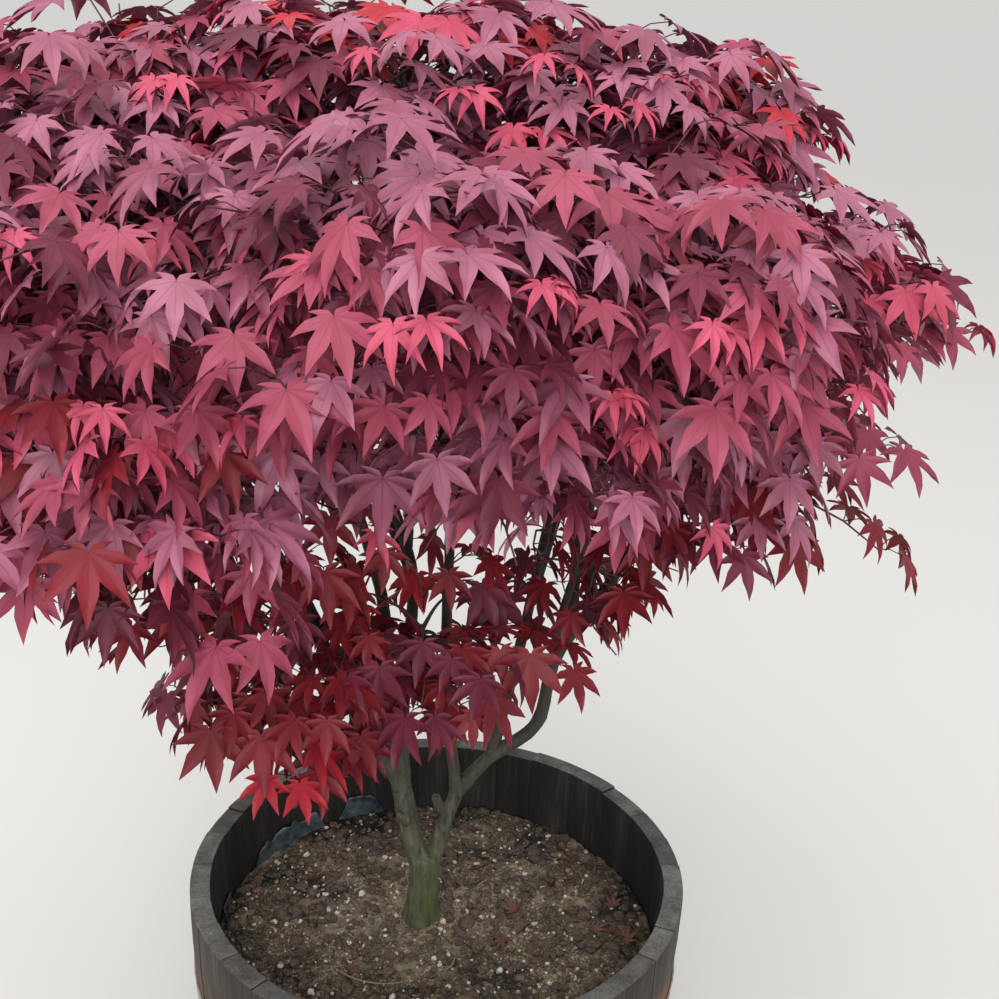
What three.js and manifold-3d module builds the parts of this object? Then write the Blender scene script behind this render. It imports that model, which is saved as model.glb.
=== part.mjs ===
// Potted Japanese maple: a small tree of several stems with purple-pink leaves, planted in half
// an oak barrel. Millimetres, +Z up. While the pieces are laid out, X and Y are measured from the
// tub's axis and Z from the paving; +X points right and -Y towards the viewer.
import * as THREE from "three";
import { mergeVertices } from "three/addons/utils/BufferGeometryUtils.js";
import Module from "manifold-3d";

const wasm = await Module();
wasm.setup();

// Clearances
const GAP = 0.3; // between neighbouring solids
const LEAF_CLEAR = 0.2; // least room between a leaf or twig and a limb

// The tub: half a barrel, cut across its widest, so the rim is the barrel's middle
const TUB_HEIGHT = 410;
const RIM_RADIUS = 300;
const FOOT_RADIUS = 250;
const WALL = 23.5;
const STAVES = 30;
const STAVES_PER_NODE = 3;
const STAVE_STEPS = 4; // straight stretches along a stave
const JOINT_GROOVE = 1.8; // depth of the V between two staves
const FIRST_JOINT_DEG = 3.8;

// The hoops, named from the top: height of the lower edge and width of the band
const HOOPS = { bilge_hoop: [262, 43], quarter_hoop: [130, 43], head_hoop: [8, 48] };
const HOOP_THICKNESS = 2;
const HOOP_CLEAR = 0.4; // from the staves, whose bends the hoops bridge

// The bottom board, the soil on it and the film between soil and staves
const HEAD_BOTTOM = 35;
const HEAD_THICKNESS = 22;
const SOIL_SURFACE = 320;
const SOIL_EDGE_DROP = 7;
const SOIL_FLAT_RADIUS = 95; // level ground round the trunk
const SOIL_SETBACK = 2.5; // room for the film
const FILM_THICKNESS = 1.6;
const FILM_BOTTOM = 275;
const FILM_STAVES = [8, 16]; // first and last joint of the stretch where the film shows

// Trunk and stems: radii, and the roots that flare at the foot
const TRUNK_FOOT_RADIUS = 20.5;
const TRUNK_TOP_RADIUS = 17.5;
const ROOT_FLARE = 6;
const ROOT_FLARE_HEIGHT = 22;
const ROOTS = 4;
const LEFT_STEM_RADII = [14.5, 12];
const RIGHT_STEM_RADII = [11, 9];
const BOUGH_TIP_RADIUS = 4.5;
const BOUGH_ENDS_AT = 0.55; // of the way from a mass's centre to its edge
const BOUGH_STEP = 90; // length of a straight stretch
const BOUGH_ARCH = 0.12; // of the last stretch's length, how far it rises above a straight line

// Leaves are larger than life, because each stands for a spray of several
const LEAF_LENGTH = 138;
const LEAF_THICKNESS = 4;
const LEAF_TIP_DROP = 0.24; // of the length, how far the lobes hang below the middle
const LEAF_SIZES = [0.88, 1.1]; // from the smallest to the largest, as shares of that length
const LEAF_HANG_DEG = [5, 42]; // of the middle lobe below the level
const LEAF_TURN_DEG = 30; // most that a leaf turns from the way of its stalk
const LEAF_ROLL_DEG = 14;
const LEAF_OUTWARD = 0.5; // how far a leaf turns away from the crown's middle
const LEAVES_PER_MASS = 14;
const STALK_RADIUS = 0.9; // where it stands on its twig, whose middle it reaches
const STALK_LENGTHS = [24, 110];
const STALK_STARTS = [0.3, 0.45, 0.6, 0.75, 0.9, 0.985]; // places along a twig
const MOST_SUNK = 40; // volume that a stalk shares with the twig it stands on

// A mass of foliage: its stem, the side twigs on it and the room they keep
const MASS_FLATNESS = 1.35; // width over height of a mass's space
const STEM_RADII = [6, 5.4, 4.9, 4.4];
const STEM_START = 0.15; // of the reach, how far the stem goes on the way of its bough
const STEM_END = 0.42; // of the reach, how far it goes on past the middle
const SIDE_TWIGS = 5;
const SIDE_TWIG_RADII = [2, 2.9, 2.3]; // at its root, which the stem hides, its middle and its tip
const SIDE_TWIG_SPREAD_DEG = 62; // between a side twig and the stem
const SIDE_TWIG_REACH = 0.66; // of the way to the edge of the mass
const SIDE_TWIG_ROOTS = [0.3, 0.95]; // the stretch of the stem that bears them
const SIDE_TWIG_ARCH = 0.08; // of the reach
const GOLDEN_ANGLE = Math.PI * (3 - Math.sqrt(5)); // from one side twig to the next
const LEAF_REACH = 0.86; // the same for the foot of a leaf
const EMPTY_MIDDLE = 0.06; // share of a mass's space, round its middle, with no leaves
const OUTSIDE_FIRST = 0.5; // how much a leaf favours the side away from the crown's middle
const TRIES_PER_LEAF = 48;
const MOST_ROUNDS = 200;
const FIRST_SEED = 1021;
const SEED_STEP = 37;

// A stand-in for chance, the same in every run.
function seededRandom(seed) {
  let state = seed >>> 0;
  return () => {
    state = (state + 0x6d2b79f5) >>> 0;
    let t = state;
    t = Math.imul(t ^ (t >>> 15), t | 1);
    t ^= t + Math.imul(t ^ (t >>> 7), t | 61);
    return ((t ^ (t >>> 14)) >>> 0) / 4294967296;
  };
}

const vec = (x, y, z) => new THREE.Vector3(x, y, z);
const radians = THREE.MathUtils.degToRad;
const lerp = THREE.MathUtils.lerp;

// A closed geometry as a solid, with its faces turned outwards.
function solidOf(geometry) {
  const bare = geometry.clone();
  for (const name of Object.keys(bare.attributes)) {
    if (name !== "position") bare.deleteAttribute(name);
  }
  const merged = mergeVertices(bare, 1e-3);
  const vertProperties = new Float32Array(merged.attributes.position.array);
  const triVerts = new Uint32Array(merged.index.array);
  const solid = new wasm.Manifold(new wasm.Mesh({ numProp: 3, vertProperties, triVerts }));
  if (solid.volume() > 0) return solid;
  for (let i = 0; i < triVerts.length; i += 3) {
    [triVerts[i + 1], triVerts[i + 2]] = [triVerts[i + 2], triVerts[i + 1]];
  }
  return new wasm.Manifold(new wasm.Mesh({ numProp: 3, vertProperties, triVerts }));
}

function geometryOf(solid) {
  const { numProp, vertProperties, triVerts } = solid.getMesh();
  const positions = new Float32Array((vertProperties.length / numProp) * 3);
  for (let i = 0; i < positions.length / 3; i++) {
    positions.set(vertProperties.subarray(i * numProp, i * numProp + 3), i * 3);
  }
  const geometry = new THREE.BufferGeometry();
  geometry.setAttribute("position", new THREE.BufferAttribute(positions, 3));
  geometry.setIndex(new THREE.BufferAttribute(new Uint32Array(triVerts), 1));
  return geometry;
}

// The largest single body of a solid: scraps are dropped and a sealed hollow is filled.
function largestBody(solid) {
  return solid.decompose().reduce((best, body) => (body.volume() > best.volume() ? body : best));
}

// Rings of points, all with the same number, joined into one closed geometry.
function loft(rings) {
  const sides = rings[0].length;
  const positions = rings.flat().flatMap((p) => [p.x, p.y, p.z]);
  const index = [];
  for (let r = 0; r + 1 < rings.length; r++) {
    for (let i = 0; i < sides; i++) {
      const a = r * sides + i;
      const b = r * sides + ((i + 1) % sides);
      index.push(a, b, b + sides, a, b + sides, a + sides);
    }
  }
  const top = (rings.length - 1) * sides;
  for (let i = 1; i + 1 < sides; i++) {
    index.push(0, i + 1, i, top, top + i, top + i + 1);
  }
  const geometry = new THREE.BufferGeometry();
  geometry.setAttribute("position", new THREE.Float32BufferAttribute(positions, 3));
  geometry.setIndex(index);
  return geometry;
}

const plant = new THREE.Group();
plant.name = "potted_maple";

function addMesh(group, name, geometry, colour, roughness, metalness = 0) {
  const material = new THREE.MeshStandardMaterial({ color: colour, roughness, metalness });
  const mesh = new THREE.Mesh(geometry, material);
  mesh.name = name;
  group.add(mesh);
  return mesh;
}

// The tub

const tub = new THREE.Group();
tub.rotation.z = radians(FIRST_JOINT_DEG);
plant.add(tub);

const STAVE_TURN = (2 * Math.PI) / STAVES;
const CORNER_STRETCH = 1 / Math.cos(STAVE_TURN / 2); // from a flat's middle to its corner
const INSIDE_CLEAR = GAP * CORNER_STRETCH + 0.05; // from the staves' inner corners

// How far the barrel's side lies inside its rim at a height: a parabola, straight between steps.
function sideInset(z) {
  const curve = (level) => (RIM_RADIUS - FOOT_RADIUS) * (1 - level / TUB_HEIGHT) ** 2;
  const step = TUB_HEIGHT / STAVE_STEPS;
  const below = Math.min(Math.floor(z / step), STAVE_STEPS - 1) * step;
  return lerp(curve(below), curve(below + step), (z - below) / step);
}

const outerRadius = (z) => RIM_RADIUS - sideInset(z);
const innerRadius = (z) => outerRadius(z) - WALL;

function onCircle(radius, angle) {
  return new THREE.Vector2(radius * Math.cos(angle), radius * Math.sin(angle));
}

// A plan drawn at the rim, drawn out over a height and drawn in to follow the barrel's side.
function followBarrel(outline, bottom, height, steps) {
  const options = { depth: height, steps, bevelEnabled: false };
  const geometry = new THREE.ExtrudeGeometry(new THREE.Shape(outline), options);
  geometry.translate(0, 0, bottom);
  const place = geometry.attributes.position;
  for (let i = 0; i < place.count; i++) {
    const radius = Math.hypot(place.getX(i), place.getY(i));
    const drawnIn = 1 - sideInset(place.getZ(i)) / radius;
    place.setXY(i, place.getX(i) * drawnIn, place.getY(i) * drawnIn);
  }
  return geometryOf(solidOf(geometry));
}

// Staves side by side, their outer faces crowned between the V grooves of the joints.
function staveGroup() {
  const sideGap = (radius) => (GAP / 2) * (RIM_RADIUS / FOOT_RADIUS) / radius;
  const last = STAVES_PER_NODE * STAVE_TURN;
  const valley = RIM_RADIUS - JOINT_GROOVE;
  const outline = [onCircle(valley, sideGap(valley))];
  for (let half = 1; half < 2 * STAVES_PER_NODE; half++) {
    outline.push(onCircle(half % 2 ? RIM_RADIUS : valley, (half * STAVE_TURN) / 2));
  }
  outline.push(onCircle(valley, last - sideGap(valley)));
  const inside = RIM_RADIUS - WALL;
  outline.push(onCircle(inside, last - sideGap(inside)));
  for (let joint = STAVES_PER_NODE - 1; joint > 0; joint--) {
    outline.push(onCircle(inside, joint * STAVE_TURN));
  }
  outline.push(onCircle(inside, sideGap(inside)));
  return followBarrel(outline, 0, TUB_HEIGHT, STAVE_STEPS);
}

function addStaves() {
  const geometry = staveGroup();
  for (let group = 0; group < STAVES / STAVES_PER_NODE; group++) {
    const name = `staves_${String(group + 1).padStart(2, "0")}`;
    const mesh = addMesh(tub, name, geometry.clone(), 0x3b322c, 0.85);
    mesh.rotation.z = group * STAVES_PER_NODE * STAVE_TURN;
  }
}

// A profile of radii and heights turned round the tub's axis, its corners on the middles of the
// staves or, turned half a stave, on their joints.
function turned(profile, onJoints) {
  const points = profile.map(([radius, z]) => new THREE.Vector2(radius, z));
  const start = onJoints ? STAVE_TURN / 2 : 0;
  const geometry = new THREE.LatheGeometry(points, STAVES, start);
  geometry.rotateX(Math.PI / 2);
  return geometryOf(solidOf(geometry));
}

function addHoops() {
  for (const [name, [bottom, width]] of Object.entries(HOOPS)) {
    const top = bottom + width;
    const inner = [outerRadius(bottom) + HOOP_CLEAR, outerRadius(top) + HOOP_CLEAR];
    const profile = [
      [inner[0], bottom],
      [inner[0] + HOOP_THICKNESS, bottom],
      [inner[1] + HOOP_THICKNESS, top],
      [inner[1], top],
      [inner[0], bottom],
    ];
    addMesh(tub, name, turned(profile, false), 0x8d8f8c, 0.55, 0.8);
  }
}

// The bottom board is held between the staves, above the floor.
function addHead() {
  const top = HEAD_BOTTOM + HEAD_THICKNESS;
  const profile = [
    [0, HEAD_BOTTOM],
    [innerRadius(HEAD_BOTTOM) - INSIDE_CLEAR, HEAD_BOTTOM],
    [innerRadius(top) - INSIDE_CLEAR, top],
    [0, top],
  ];
  addMesh(tub, "barrel_head", turned(profile, true), 0x3a3029, 0.9);
}

function addSoil() {
  const bottom = HEAD_BOTTOM + HEAD_THICKNESS + GAP;
  const step = TUB_HEIGHT / STAVE_STEPS;
  const surface = SOIL_SURFACE - GAP;
  const edge = surface - SOIL_EDGE_DROP;
  const side = [bottom, step, 2 * step, edge];
  const profile = [
    [0, bottom],
    ...side.map((z) => [innerRadius(z) - SOIL_SETBACK, z]),
    [SOIL_FLAT_RADIUS, surface],
    [0, surface],
  ];
  addMesh(tub, "soil", turned(profile, true), 0x2c2019, 0.95);
}

// A strip of dark film that lines the staves and stands up a little past the soil.
function addFilm() {
  const outside = RIM_RADIUS - WALL - INSIDE_CLEAR;
  const outline = [];
  const [first, last] = FILM_STAVES;
  for (let joint = first; joint <= last; joint++) {
    outline.push(onCircle(outside, joint * STAVE_TURN));
  }
  for (let joint = last; joint >= first; joint--) {
    outline.push(onCircle(outside - FILM_THICKNESS, joint * STAVE_TURN));
  }
  const bend = (3 * TUB_HEIGHT) / STAVE_STEPS; // the staves bend here, so the film does too
  const height = 2 * (bend - FILM_BOTTOM);
  addMesh(tub, "liner_film", followBarrel(outline, FILM_BOTTOM, height, 2), 0x27303a, 0.45);
}

addStaves();
addHoops();
addHead();
addSoil();
addFilm();

// The limbs

const BARK = 0x4a473c;
const tree = new THREE.Group();
plant.add(tree);

const limbs = new Map(); // name: the curve along its middle
let wood = null; // all limbs so far, grown by the gap between limbs
let woodForLeaves = null; // the same, grown by the room that leaves keep

// A tapering tube along a curve, with level sections if it stands upright. growth makes it stouter
// and longer.
function limbGeometry({ curve, radiusAt, sides, steps, upright }, growth = 0) {
  const frames = curve.computeFrenetFrames(steps, false);
  const cornerGrowth = growth / Math.cos(Math.PI / sides);
  const rings = [];
  for (let i = 0; i <= steps; i++) {
    const centre = curve.getPointAt(i / steps);
    const beyond = i === 0 ? -growth : i === steps ? growth : 0;
    centre.addScaledVector(frames.tangents[i], beyond);
    const ring = [];
    for (let side = 0; side < sides; side++) {
      const turn = (side / sides) * 2 * Math.PI;
      const radius = radiusAt(i / steps, turn) + cornerGrowth;
      ring.push(
        centre
          .clone()
          .addScaledVector(upright ? vec(1, 0, 0) : frames.normals[i], radius * Math.cos(turn))
          .addScaledVector(upright ? vec(0, 1, 0) : frames.binormals[i], radius * Math.sin(turn)),
      );
    }
    rings.push(ring);
  }
  return loft(rings);
}

// Adds a limb, cut clear of those before it.
function addLimb(name, shape) {
  const whole = solidOf(limbGeometry(shape));
  const solid = wood ? largestBody(whole.subtract(wood)) : whole;
  const grown = solidOf(limbGeometry(shape, GAP));
  const grownForLeaves = solidOf(limbGeometry(shape, LEAF_CLEAR));
  wood = wood ? wood.add(grown) : grown;
  woodForLeaves = woodForLeaves ? woodForLeaves.add(grownForLeaves) : grownForLeaves;
  limbs.set(name, shape.curve);
  addMesh(tree, name, geometryOf(solid), BARK, 0.85);
}

const smooth = (points) => new THREE.CatmullRomCurve3(points, false, "centripetal");

// The trunk stands on the soil, leans a little and ends under its fork. Roots swell its foot.
function addTrunk() {
  const foot = vec(-21, 17, SOIL_SURFACE);
  const fork = vec(-18, 17, 408);
  const curve = new THREE.LineCurve3(foot, fork);
  const height = fork.z - foot.z;
  const radiusAt = (t, turn) => {
    const flare = Math.max(0, 1 - (t * height) / ROOT_FLARE_HEIGHT) ** 2;
    const root = 0.6 + 0.4 * Math.cos(ROOTS * turn);
    return lerp(TRUNK_FOOT_RADIUS, TRUNK_TOP_RADIUS, t) + ROOT_FLARE * flare * root;
  };
  addLimb("trunk", { curve, radiusAt, sides: 12, steps: 6, upright: true });
}

function addStem(name, points, [footRadius, tipRadius]) {
  const curve = smooth(points.map((p) => vec(...p)));
  const radiusAt = (t) => lerp(footRadius, tipRadius, t);
  addLimb(name, { curve, radiusAt, sides: 8, steps: 4 });
}

addTrunk();
addStem("stem_left", [[-24, 17, 396], [-38, 17, 450], [-50, 17, 516]], LEFT_STEM_RADII);
addStem("stem_right", [[-9, 19, 396], [2, 34, 440], [18, 45, 488]], RIGHT_STEM_RADII);

// The masses of foliage: centre, and reach across the widest
const MASSES = {
  top_left: [-295, 20, 1240, 190],
  crown_top: [-60, 60, 1305, 200],
  top_right: [150, 30, 1255, 180],
  left_upper: [-480, -10, 1125, 185],
  front_upper_left: [-265, -215, 1165, 190],
  front_upper_middle: [-35, -250, 1180, 190],
  front_upper_right: [165, -185, 1165, 175],
  right_upper: [305, 0, 1118, 172],
  back_right: [200, 240, 1130, 190],
  back_middle: [-40, 295, 1155, 195],
  back_left: [-300, 240, 1135, 195],
  left_lower: [-450, -70, 985, 175],
  front_left: [-235, -240, 1015, 175],
  front_right: [65, -205, 1060, 153],
  right_lower: [247, -35, 1006, 140],
  back_low_right: [200, 230, 985, 160],
  back_low_left: [-225, 250, 975, 175],
  skirt_left: [-155, -90, 755, 105],
  skirt_centre: [-25, -50, 760, 92],
  skirt_right: [148, 0, 835, 85],
};

// The boughs: the limb that each leaves, how far along, its radius there, and the bends that the
// photo shows. Each then arches over to the mass that has its name.
const BOUGHS = {
  left_upper: ["stem_left", 1, 9, [-91, 0, 602], [-129, -20, 683], [-150, -30, 760]],
  top_left: ["stem_left", 1, 8.5, [-68, 24, 640], [-79, 30, 767]],
  back_left: ["stem_left", 0.95, 8, [-50, 50, 640], [-48, 80, 780]],
  crown_top: ["stem_right", 1, 7, [4, 42, 600], [-1, 40, 738], [-1, 40, 848]],
  right_upper: ["stem_right", 1, 9, [57, 50, 536], [111, 55, 580], [130, 55, 671], [198, 40, 803]],
  back_right: ["right_upper", 0.1, 7, [82, 80, 641], [92, 95, 689]],
  top_right: ["right_upper", 0.42, 7, [150, 70, 811], [160, 70, 864]],
  front_upper_left: ["top_left", 0.5, 6],
  front_upper_middle: ["crown_top", 0.6, 6],
  front_upper_right: ["top_right", 0.3, 6],
  back_middle: ["back_left", 0.45, 6],
  right_lower: ["right_upper", 0.6, 6],
  front_right: ["right_upper", 0.5, 6],
  front_left: ["left_upper", 0.5, 6],
  left_lower: ["left_upper", 0.42, 6.5],
  back_low_right: ["back_right", 0.35, 6],
  back_low_left: ["back_left", 0.4, 6],
  skirt_left: ["left_upper", 0.2, 6],
  skirt_centre: ["top_left", 0.1, 5.5],
  skirt_right: ["right_upper", 0.3, 5.5],
};

const squash = (p) => vec(p.x, p.y, p.z * MASS_FLATNESS);
const centreOf = (mass) => vec(...MASSES[mass].slice(0, 3));
const reachOf = (mass) => MASSES[mass][3];

function addBough(mass, [parent, at, radius, ...bends]) {
  const points = [limbs.get(parent).getPointAt(at), ...bends.map((p) => vec(...p))];
  const last = points.at(-1);
  const centre = centreOf(mass);
  const away = last.clone().sub(centre);
  const endsAt = (BOUGH_ENDS_AT * reachOf(mass)) / squash(away).length();
  const end = centre.clone().addScaledVector(away, endsAt);
  const stretch = end.distanceTo(last);
  points.push(last.clone().lerp(end, 0.5).add(vec(0, 0, BOUGH_ARCH * stretch)), end);
  const curve = smooth(points);
  const steps = Math.max(4, Math.round(curve.getLength() / BOUGH_STEP));
  const radiusAt = (t) => lerp(radius, BOUGH_TIP_RADIUS, t);
  addLimb(`bough_${mass}`, { curve, radiusAt, sides: 5, steps });
  limbs.set(mass, curve);
}

for (const [mass, route] of Object.entries(BOUGHS)) addBough(mass, route);

// The foliage

const LEAF_COLOUR = 0x8e2f45;
const CROWN_MIDDLE = vec(-20, 10, 980);

// The flat faces that part one mass's space from all others, as a normal and a distance each.
// The space is convex, so a leaf or twig is inside when its corners are.
function spaceOf(mass) {
  const here = squash(centreOf(mass));
  return Object.keys(MASSES)
    .filter((other) => other !== mass)
    .map((other) => {
      const there = squash(centreOf(other));
      const normal = squash(there.clone().sub(here));
      const hereSized = here.lengthSq() - reachOf(mass) ** 2;
      const thereSized = there.lengthSq() - reachOf(other) ** 2;
      const length = normal.length();
      return { normal: normal.divideScalar(length), distance: (thereSized - hereSized) / 2 / length };
    });
}

const inside = (space, points, room) =>
  points.every((p) => space.every((face) => face.normal.dot(p) < face.distance - room));

// A leaf of five pointed lobes: the lobes and the notches between them, as turns from the middle
// lobe and lengths. The edge from the sixth point to the seventh is where the stalk comes in.
const LEAF_OUTLINE = [
  [0, 1],
  [18, 0.47],
  [38, 0.88],
  [58, 0.4],
  [82, 0.62],
  [128, 0.05],
  [-128, 0.05],
  [-82, 0.62],
  [-58, 0.4],
  [-38, 0.88],
  [-18, 0.47],
];
const STALK_EDGE = 5;
const LEAF_MOUTH = vec(-0.87, 0, -0.5); // the way that the stalk comes from, in the leaf's frame
const LEAST_FACING = 0.5; // cosine between that way and the stalk

// A leaf with its stalk, as one closed surface. The leaf's frame has its foot at the origin and
// its middle lobe along X; the lobes hang below it.
function leafWithStalk(frame, foot, start, size) {
  const points = LEAF_OUTLINE.map(([turn, length]) => {
    const reach = length * size;
    const drop = LEAF_TIP_DROP * length ** 2 * size;
    return vec(reach * Math.cos(radians(turn)), reach * Math.sin(radians(turn)), -drop);
  });
  const count = points.length;
  const top = count;
  const bottom = count + 1;
  points.push(vec(-0.045 * size, 0, LEAF_THICKNESS / 2), vec(0.01 * size, 0, -LEAF_THICKNESS / 2));
  for (const point of points) point.applyMatrix4(frame);
  const along = foot.clone().sub(start).normalize();
  const left = vec(0, 1, 0).transformDirection(frame);
  left.addScaledVector(along, -left.dot(along)).normalize();
  const up = along.clone().cross(left);
  const ring = [90, 210, 330].map((turn) =>
    start
      .clone()
      .addScaledVector(left, -STALK_RADIUS * Math.cos(radians(turn)))
      .addScaledVector(up, STALK_RADIUS * Math.sin(radians(turn))),
  );
  points.push(...ring);
  const [over, atLeft, atRight] = [count + 2, count + 3, count + 4];
  const [edgeLeft, edgeRight] = [STALK_EDGE, STALK_EDGE + 1];
  const index = [];
  for (let i = 0; i < count; i++) {
    const next = (i + 1) % count;
    if (i !== STALK_EDGE) index.push(top, i, next);
    index.push(bottom, next, i);
  }
  index.push(top, edgeLeft, atLeft, top, atLeft, over);
  index.push(edgeLeft, edgeRight, atRight, edgeLeft, atRight, atLeft);
  index.push(edgeRight, top, over, edgeRight, over, atRight);
  index.push(over, atLeft, atRight);
  const geometry = new THREE.BufferGeometry().setFromPoints(points);
  geometry.setIndex(index);
  return { geometry, points };
}

// The frame of a leaf: it carries on the way of its stalk, turned outwards a little, and hangs.
function leafFrame(foot, start, random) {
  const outward = foot.clone().sub(CROWN_MIDDLE).setZ(0).normalize();
  const way = foot.clone().sub(start).setZ(0).normalize().addScaledVector(outward, LEAF_OUTWARD);
  const heading = Math.atan2(way.y, way.x) + radians(lerp(-LEAF_TURN_DEG, LEAF_TURN_DEG, random()));
  const hang = radians(lerp(...LEAF_HANG_DEG, random()));
  const roll = radians(lerp(-LEAF_ROLL_DEG, LEAF_ROLL_DEG, random()));
  const frame = new THREE.Matrix4().makeRotationZ(heading);
  frame.multiply(new THREE.Matrix4().makeRotationY(hang));
  frame.multiply(new THREE.Matrix4().makeRotationX(roll));
  return frame.setPosition(foot);
}

// A three-sided twig through a few points, with a radius at each.
function twigSolid(points, radii) {
  const rings = points.map((point, i) => {
    const ahead = points[Math.min(i + 1, points.length - 1)];
    const behind = points[Math.max(i - 1, 0)];
    const along = ahead.clone().sub(behind).normalize();
    const across = vec(0, 0, 1).cross(along).normalize();
    const up = along.clone().cross(across);
    return [90, 210, 330].map((turn) =>
      point
        .clone()
        .addScaledVector(across, radii[i] * Math.cos(radians(turn)))
        .addScaledVector(up, radii[i] * Math.sin(radians(turn))),
    );
  });
  return { solid: solidOf(loft(rings)), points: rings.flat() };
}

// The skeleton of a mass. Its stem goes on from the bough's tip through the middle, unless a limb
// is in its way, and side twigs leave it all round, a golden angle apart.
function growTwigs(mass, space, random) {
  const curve = limbs.get(mass);
  const centre = centreOf(mass);
  const reach = reachOf(mass);
  const along = curve.getTangentAt(1);
  const root = curve.getPointAt(1).addScaledVector(along, GAP);
  const outward = centre.clone().sub(CROWN_MIDDLE).normalize();
  const stem = [
    root,
    root.clone().addScaledVector(along, STEM_START * reach),
    centre.clone(),
    centre.clone().addScaledVector(outward, STEM_END * reach),
  ];
  while (!twigSolid(stem, STEM_RADII).solid.intersect(woodForLeaves).isEmpty()) stem.pop();
  const twigs = [{ line: stem, ...twigSolid(stem, STEM_RADII) }];
  const stemCurve = smooth(stem);
  for (let k = 0; k < SIDE_TWIGS; k++) {
    const at = lerp(...SIDE_TWIG_ROOTS, (k + 0.5 * random()) / SIDE_TWIGS);
    const start = pointOnLine(stem, at);
    const way = stemCurve.getTangentAt(at);
    const spin = k * GOLDEN_ANGLE + 0.5 * random();
    const side = vec(0, 0, 1).cross(way).normalize().applyAxisAngle(way, spin);
    const lean = radians(SIDE_TWIG_SPREAD_DEG);
    const aim = way.clone().multiplyScalar(Math.cos(lean)).addScaledVector(side, Math.sin(lean));
    const end = start.clone().addScaledVector(aim, reach);
    const away = end.clone().sub(centre);
    end.copy(centre).addScaledVector(away, (SIDE_TWIG_REACH * reach) / squash(away).length());
    const middle = start.clone().lerp(end, 0.5).add(vec(0, 0, SIDE_TWIG_ARCH * reach));
    const line = [start, middle, end];
    const twig = twigSolid(line, SIDE_TWIG_RADII);
    if (!inside(space, twig.points, LEAF_CLEAR)) continue;
    if (!twig.solid.intersect(woodForLeaves).isEmpty()) continue;
    twigs.push({ line, ...twig });
  }
  return twigs;
}

function pointOnLine(line, at) {
  const path = new THREE.CurvePath();
  for (let i = 0; i + 1 < line.length; i++) path.add(new THREE.LineCurve3(line[i], line[i + 1]));
  return path.getPointAt(at);
}

// The leaves of a mass, each on a stalk from the nearest twig: of several tries, the one whose
// foot is furthest from the others. A leaf that would leave the mass's space, or touch a limb,
// another leaf or a twig that isn't its own, is skipped.
function growLeaves(mass, space, twigs, random) {
  const centre = centreOf(mass);
  const outward = centre.clone().sub(CROWN_MIDDLE).normalize();
  const starts = twigs.flatMap(({ line }) => STALK_STARTS.map((at) => pointOnLine(line, at)));
  const leaves = [];
  for (let round = 0; leaves.length < LEAVES_PER_MASS && round < MOST_ROUNDS; round++) {
    let best = null;
    for (let k = 0; k < TRIES_PER_LEAF; k++) {
      const away = new THREE.Vector3().setFromSphericalCoords(
        LEAF_REACH * reachOf(mass) * Math.cbrt(lerp(EMPTY_MIDDLE, 1, random())),
        Math.acos(lerp(-1, 1, random())),
        2 * Math.PI * random(),
      );
      const foot = centre.clone().add(vec(away.x, away.z, away.y / MASS_FLATNESS));
      const start = starts.reduce((a, b) => (b.distanceTo(foot) < a.distanceTo(foot) ? b : a));
      const length = start.distanceTo(foot);
      if (length < STALK_LENGTHS[0] || length > STALK_LENGTHS[1]) continue;
      const frame = leafFrame(foot, start, random);
      const mouth = LEAF_MOUTH.clone().transformDirection(frame);
      if (mouth.dot(start.clone().sub(foot)) < LEAST_FACING * length) continue;
      const leaf = leafWithStalk(frame, foot, start, LEAF_LENGTH * lerp(...LEAF_SIZES, random()));
      if (!inside(space, leaf.points, LEAF_CLEAR)) continue;
      const room = Math.min(...leaves.map((other) => other.foot.distanceTo(foot)), reachOf(mass));
      const facing = foot.clone().sub(centre).normalize().dot(outward);
      const worth = room * lerp(1, 1 + facing, OUTSIDE_FIRST);
      if (!best || worth > best.worth) best = { foot, worth, geometry: leaf.geometry };
    }
    if (!best) continue;
    const solid = solidOf(best.geometry);
    if (!solid.intersect(woodForLeaves).isEmpty()) continue;
    if (leaves.some((other) => !solid.intersect(other.solid).isEmpty())) continue;
    const shared = twigs.reduce((sum, twig) => sum + solid.intersect(twig.solid).volume(), 0);
    if (shared > MOST_SUNK) continue;
    leaves.push({ foot: best.foot, solid });
  }
  return leaves;
}

function growMass(mass, random) {
  const space = spaceOf(mass);
  const twigs = growTwigs(mass, space, random);
  const leaves = growLeaves(mass, space, twigs, random);
  return largestBody(wasm.Manifold.union([...twigs, ...leaves].map((piece) => piece.solid)));
}

Object.keys(MASSES).forEach((mass, i) => {
  const solid = growMass(mass, seededRandom(FIRST_SEED + SEED_STEP * i));
  addMesh(tree, `leaves_${mass}`, geometryOf(solid), LEAF_COLOUR, 0.7);
});

// The origin is under the middle of the whole plant, on the paving.
const box = new THREE.Box3().setFromObject(plant);
const middle = box.getCenter(vec(0, 0, 0));
plant.position.set(-middle.x, -middle.y, -box.min.z);

export default plant;
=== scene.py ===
import math
import random

import bmesh
import bpy
import numpy as np
from mathutils import Matrix, Vector, noise


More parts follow.
